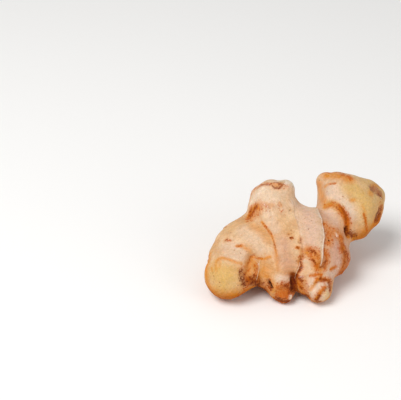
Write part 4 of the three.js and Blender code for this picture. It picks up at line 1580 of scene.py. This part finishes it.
@dataclass
class Rhizome:
    """The whole root as one finely modelled piece, in millimetres until its mesh is written."""

    node_name: str = "rhizome"
    piece_name: str = "rhizome_skin"
    subdivisions: int = 2
    quad_angle: float = math.radians(60)
    merge_distance: float = 0.002 * MM
    settle_rounds: int = 4
    settle_step: float = 0.6
    ring_line_reach: float = 12.0
    lobes: PlainSkin = field(default_factory=PlainSkin)
    relief: Relief = field(default_factory=Relief)
    brush: Brush = field(default_factory=Brush)

    def build(self) -> tuple[bpy.types.Object, SkinSheet]:
        """Models the root.

        Returns:
            The finished piece, without its material, and what is known at its vertices.
        """
        seen = SeenSkin(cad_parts[self.node_name].data)
        piece = self.fine_copy(seen)
        shelter = stored(piece.data.attributes["shelter"].data, "value", 1)[:, 0]
        sheet = SkinSheet(self.lobes, self.settle(piece.data), shelter)
        self.brush.paint(sheet, seen, self.relief)
        sheet.height = self.relief.total(sheet, seen)
        points = sheet.plain + sheet.height[:, None] * sheet.outward
        points[:, 2] = np.maximum(points[:, 2], 0)
        piece.data.vertices.foreach_set("co", (points * MM).ravel())
        piece.data.update()
        self.store_looks(piece, sheet)
        return piece, sheet

    def fine_copy(self, seen: SeenSkin) -> bpy.types.Object:
        """A merged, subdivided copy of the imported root, with its shelter stored on the vertices."""
        piece = bpy.data.objects.new(self.piece_name, seen.mesh.copy())
        piece.data.materials.clear()
        bring_in(piece)
        bpy.ops.mesh.customdata_custom_splitnormals_clear()
        bpy.ops.object.mode_set(mode="EDIT")
        bpy.ops.mesh.select_all(action="SELECT")
        bpy.ops.mesh.remove_doubles(threshold=self.merge_distance)
        bpy.ops.mesh.tris_convert_to_quads(face_threshold=self.quad_angle, shape_threshold=self.quad_angle)
        bpy.ops.object.mode_set(mode="OBJECT")
        points = np.array([vertex.co / MM for vertex in piece.data.vertices])
        outward = np.array([vertex.normal for vertex in piece.data.vertices])
        store(piece.data, "shelter", seen.shelter(points, outward))
        fine = piece.modifiers.new("fine skin", "SUBSURF")
        fine.levels = fine.render_levels = self.subdivisions
        bpy.ops.object.modifier_apply(modifier=fine.name)
        bpy.ops.object.shade_smooth()
        return piece

    def settle(self, mesh: bpy.types.Mesh) -> Points:
        """Brings the vertices onto the plain lobes, evenly spread.

        Args:
            mesh: The subdivided copy.

        Returns:
            The vertices' places on the plain skin.
        """
        points = stored(mesh.vertices, "co", 3) / MM
        edges = stored(mesh.edges, "vertices", 2, int)
        start, end = np.concatenate([edges, edges[:, ::-1]]).T
        count = np.bincount(start, minlength=len(points))[:, None]
        for _ in range(self.settle_rounds):
            sums = [np.bincount(start, points[end, axis], len(points)) for axis in range(3)]
            middle = np.stack(sums, axis=1) / count
            points = self.lobes.onto((points + middle) / 2, rounds=1, step=self.settle_step)
        return points

    def store_looks(self, piece: bpy.types.Object, sheet: SkinSheet) -> None:
        """Stores the colour zones, ring lines and grain on the vertices.

        Args:
            piece: The piece whose mesh carries them.
            sheet: The zones and grain there.
        """
        nearest = np.full(len(sheet.plain), self.ring_line_reach)
        line = np.zeros(len(sheet.plain))
        for ring in RING_SCARS:
            place = self.relief.ring_place(sheet.plain, ring)
            strength = self.relief.ring_strength(sheet.plain, ring) * ring.look.value
            closer = (np.abs(place) < np.abs(nearest)) & (strength > 0)
            nearest = np.where(closer, place, nearest)
            line = np.where(closer, strength, line)
        for zone, values in sheet.zones.items():
            store(piece.data, zone.value, values)
        store(piece.data, "ring_place", nearest)
        store(piece.data, "ring_line", line)
        layer = piece.data.attributes.new("grain", "FLOAT_VECTOR", "POINT")
        layer.data.foreach_set("vector", (sheet.reading.grain * MM).astype(np.float32).ravel())

    def dress(self, piece: bpy.types.Object, finish: SkinFinish) -> None:
        """Gives the piece its skin and sets it in the frame."""
        piece.data.materials.append(finish.material())
        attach(piece, "root")
        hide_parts(self.node_name)


@dataclass
class ScaleEdges:
    """Thin papery edges of old scales, which stand over the steps of their ring scars, in millimetres."""

    relief: Relief
    piece_name: str = "scale_edges"
    root_width: float = 2.2
    rooted: float = -0.2
    lifted: float = 0.12
    lift_end: float = -0.4
    least_strength: float = 0.35
    full_strength: float = 0.8
    least_slope: float = 0.2
    lip_share: float = 0.55
    fray_share: float = 0.45
    fray_length: float = 2.4
    fray_seed: int = 13
    pale_width: float = 1.0
    thickness: float = 0.1

    def build(self, skin_piece: bpy.types.Object, sheet: SkinSheet) -> bpy.types.Object:
        """Models the edges from the skin under them.

        Args:
            skin_piece: The finished skin.
            sheet: What is known at its vertices.

        Returns:
            One piece with all edges.
        """
        edges = [self.edge(skin_piece, sheet, ring) for ring in RING_SCARS if ring.lip]
        bpy.ops.object.select_all(action="DESELECT")
        for edge in edges:
            edge.select_set(True)
        piece = edges[0]
        bpy.context.view_layer.objects.active = piece
        bpy.ops.object.join()
        piece.name = self.piece_name
        wall = piece.modifiers.new("paper", "SOLIDIFY")
        wall.thickness = self.thickness * MM
        wall.offset = 0
        bpy.ops.object.modifier_apply(modifier=wall.name)
        return piece

    def edge(self, skin_piece: bpy.types.Object, sheet: SkinSheet, ring: RingScar) -> bpy.types.Object:
        """One papery edge, cut from a copy of the skin along its ring scar."""
        place = self.relief.ring_place(sheet.plain, ring)
        strength = self.relief.ring_strength(sheet.plain, ring)
        fray = unevenness(sheet.plain, self.fray_length, self.fray_seed)
        end = ring.lip * (self.lip_share + self.fray_share * fray)
        along = ring.normal - (sheet.outward @ ring.normal)[:, None] * sheet.outward
        back = np.maximum(place - end, 0) / np.maximum((along**2).sum(axis=1), self.least_slope)
        rise = smoothstep(place, -self.root_width, self.lift_end)
        rise = rise * smoothstep(strength, self.least_strength, self.full_strength)
        lift = self.rooted + (self.lifted - self.rooted) * rise
        height = sheet.height + self.relief.ring_fall(sheet.plain, ring) + lift
        points = sheet.plain - back[:, None] * along + height[:, None] * sheet.outward
        points[:, 2] = np.maximum(points[:, 2], self.thickness)
        free = smoothstep(place, end - self.pale_width, end) * (1 - ring.look.value)
        pale = np.maximum(free, sheet.zones[Zone.PAPER])

        edge = skin_piece.copy()
        edge.data = skin_piece.data.copy()
        bring_in(edge)
        edge.data.vertices.foreach_set("co", (points * MM).ravel())
        for name, values in (("ring_line", np.zeros(len(place))), (Zone.PAPER.value, pale)):
            edge.data.attributes[name].data.foreach_set("value", values.astype(np.float32))
        corners = stored(edge.data.polygons, "vertices", QUAD_CORNERS, int)
        kept = ((place > -self.root_width) & (strength > self.least_strength))[corners].all(axis=1)
        kept &= (place < end)[corners].any(axis=1)
        self.cut(edge, kept)
        return edge

    def cut(self, edge: bpy.types.Object, kept: np.ndarray) -> None:
        """Deletes the faces of an edge that aren't kept."""
        bpy.ops.object.mode_set(mode="EDIT")
        bpy.ops.mesh.select_mode(type="FACE")
        bpy.ops.mesh.select_all(action="DESELECT")
        bpy.ops.object.mode_set(mode="OBJECT")
        edge.data.polygons.foreach_set("select", ~kept)
        bpy.ops.object.mode_set(mode="EDIT")
        bpy.ops.mesh.delete(type="FACE")
        bpy.ops.object.mode_set(mode="OBJECT")

    def dress(self, piece: bpy.types.Object, material: bpy.types.Material) -> None:
        """Gives the edges the finish of the skin that they belong to and sets them in the frame."""
        piece.data.materials.append(material)
        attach(piece, "root")


@dataclass(frozen=True)
class Fibre:
    """A fine root fibre that lies on the skin. Its thickness is in millimetres."""

    thickness: float
    path: Path


@dataclass
class RootFibres:
    """Fine dry fibres that lie on the finished skin, in millimetres."""

    skin: SeenSkin
    piece_name: str = "root_fibres"
    rise: float = 0.15
    sides: int = 2
    end_width: float = 0.35
    fibres: tuple[Fibre, ...] = (
        Fibre(0.34, ((299.4, 262), (299, 266), (297.4, 270), (295.8, 274), (295, 278.5))),
        Fibre(0.28, ((256, 261), (258.5, 264), (259, 269), (257.5, 275), (256.5, 280))),
        Fibre(0.26, ((260, 260.5), (258.5, 264))),
        Fibre(0.32, ((321.6, 249.5), (321.5, 255), (321.7, 261))),
        Fibre(0.3, ((337, 200.5), (340.5, 203.5), (343, 207))),
        Fibre(0.34, ((-24, 12, 30), (-25, 14, 25), (-24, 16, 21))),
        Fibre(0.34, ((4, 22, 26), (2, 24, 20), (3, 25, 14))),
    )

    def build(self) -> bpy.types.Object:
        """Models the fibres as thin tapered tubes."""
        data = bpy.data.curves.new(self.piece_name, "CURVE")
        data.dimensions = "3D"
        data.bevel_depth = MM / 2
        data.bevel_resolution = self.sides
        data.use_fill_caps = True
        for fibre in self.fibres:
            route = self.skin.trace(fibre.path)
            spline = data.splines.new("POLY")
            spline.points.add(len(route) - 1)
            for index, (point, place) in enumerate(zip(spline.points, route)):
                out = self.skin.tree.find_nearest(Vector(place))[1]
                point.co = (*((Vector(place) + self.rise * out) * MM), 1.0)
                taper = math.sin(math.pi * (index + 0.5) / len(route))
                point.radius = fibre.thickness * (self.end_width + (1 - self.end_width) * taper)
        bring_in(bpy.data.objects.new(self.piece_name, data))
        bpy.ops.object.convert(target="MESH")
        bpy.ops.object.shade_smooth()
        return bpy.context.object

    def dress(self, piece: bpy.types.Object, finish: FibreFinish) -> None:
        """Gives the fibres their dry finish and sets them in the frame."""
        piece.data.materials.clear()
        piece.data.materials.append(finish.material())
        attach(piece, "root")


@dataclass(frozen=True)
class SoftLight:
    """A large soft lamp that looks at the root, in metres and watts."""

    name: str
    place: tuple[float, float, float]
    width: float
    power: float
    aim: tuple[float, float, float] = (0, 0, 0.02)

    def build(self) -> bpy.types.Object:
        """Hangs the lamp."""
        data = bpy.data.lights.new(self.name, "AREA")
        data.shape = "DISK"
        data.size = self.width
        data.energy = self.power
        lamp = bpy.data.objects.new(self.name, data)
        lamp.location = self.place
        way = Vector(self.aim) - Vector(self.place)
        lamp.rotation_euler = way.to_track_quat("-Z", "Y").to_euler()
        bpy.context.scene.collection.objects.link(lamp)
        return lamp


@dataclass
class Studio:
    """A plain pale floor under soft light."""

    floor_width: float = 8.0
    floor_colour: Colour = srgb(250, 249, 247)
    floor_roughness: float = 0.9
    sky_colour: Colour = (1.0, 1.0, 1.0, 1.0)
    sky_strength: float = 0.42
    seen_sky_strength: float = 1.0
    lamps: tuple[SoftLight, ...] = (
        SoftLight("key_light", (-0.5, -0.38, 1.0), 0.7, 9.6),
        SoftLight("fill_light", (0.9, -0.6, 0.5), 0.9, 2.6),
    )

    def build(self) -> bpy.types.Object:
        """Lays the floor, hangs the lamps and lights the sky."""
        bpy.ops.object.select_all(action="DESELECT")
        bpy.ops.mesh.primitive_plane_add(size=self.floor_width)
        floor = bpy.context.object
        floor.name = "studio_floor"
        material, graph, shader = principled("pale_floor")
        graph.feeds(shader, {"Base Color": self.floor_colour, "Roughness": self.floor_roughness})
        floor.data.materials.append(material)
        for lamp in self.lamps:
            lamp.build()
        self.light_sky()
        bpy.context.scene.view_settings.view_transform = "Standard"
        return floor

    def light_sky(self) -> None:
        """Makes a white sky that lights less than it shows."""
        world = bpy.data.worlds.new("studio_sky")
        world.use_nodes = True
        graph = Graph(world.node_tree)
        seen = graph.node("ShaderNodeLightPath").outputs["Is Camera Ray"]
        strength = graph.remap(seen, 0.0, 1.0, self.sky_strength, self.seen_sky_strength)
        graph.feeds(world.node_tree.nodes["Background"], {"Color": self.sky_colour, "Strength": strength})
        bpy.context.scene.world = world


def main() -> None:
    """Builds the camera, the root's pieces and the studio in order."""
    logging.basicConfig(level=logging.INFO, format="%(name)s: %(message)s")
    PhotoCamera().build()
    groups = SharedGroups()
    rhizome = Rhizome()
    root, sheet = rhizome.build()
    edges = ScaleEdges(rhizome.relief)
    paper = edges.build(root, sheet)
    fibres = RootFibres(SeenSkin(root.data))
    hairs = fibres.build()
    rhizome.dress(root, SkinFinish(groups))
    edges.dress(paper, root.data.materials[0])
    fibres.dress(hairs, FibreFinish(groups))
    for piece in (root, paper, hairs, Studio().build()):
        LOG.info("%s: %d faces", piece.name, len(piece.data.polygons))


if __name__ == "__main__":
    main()
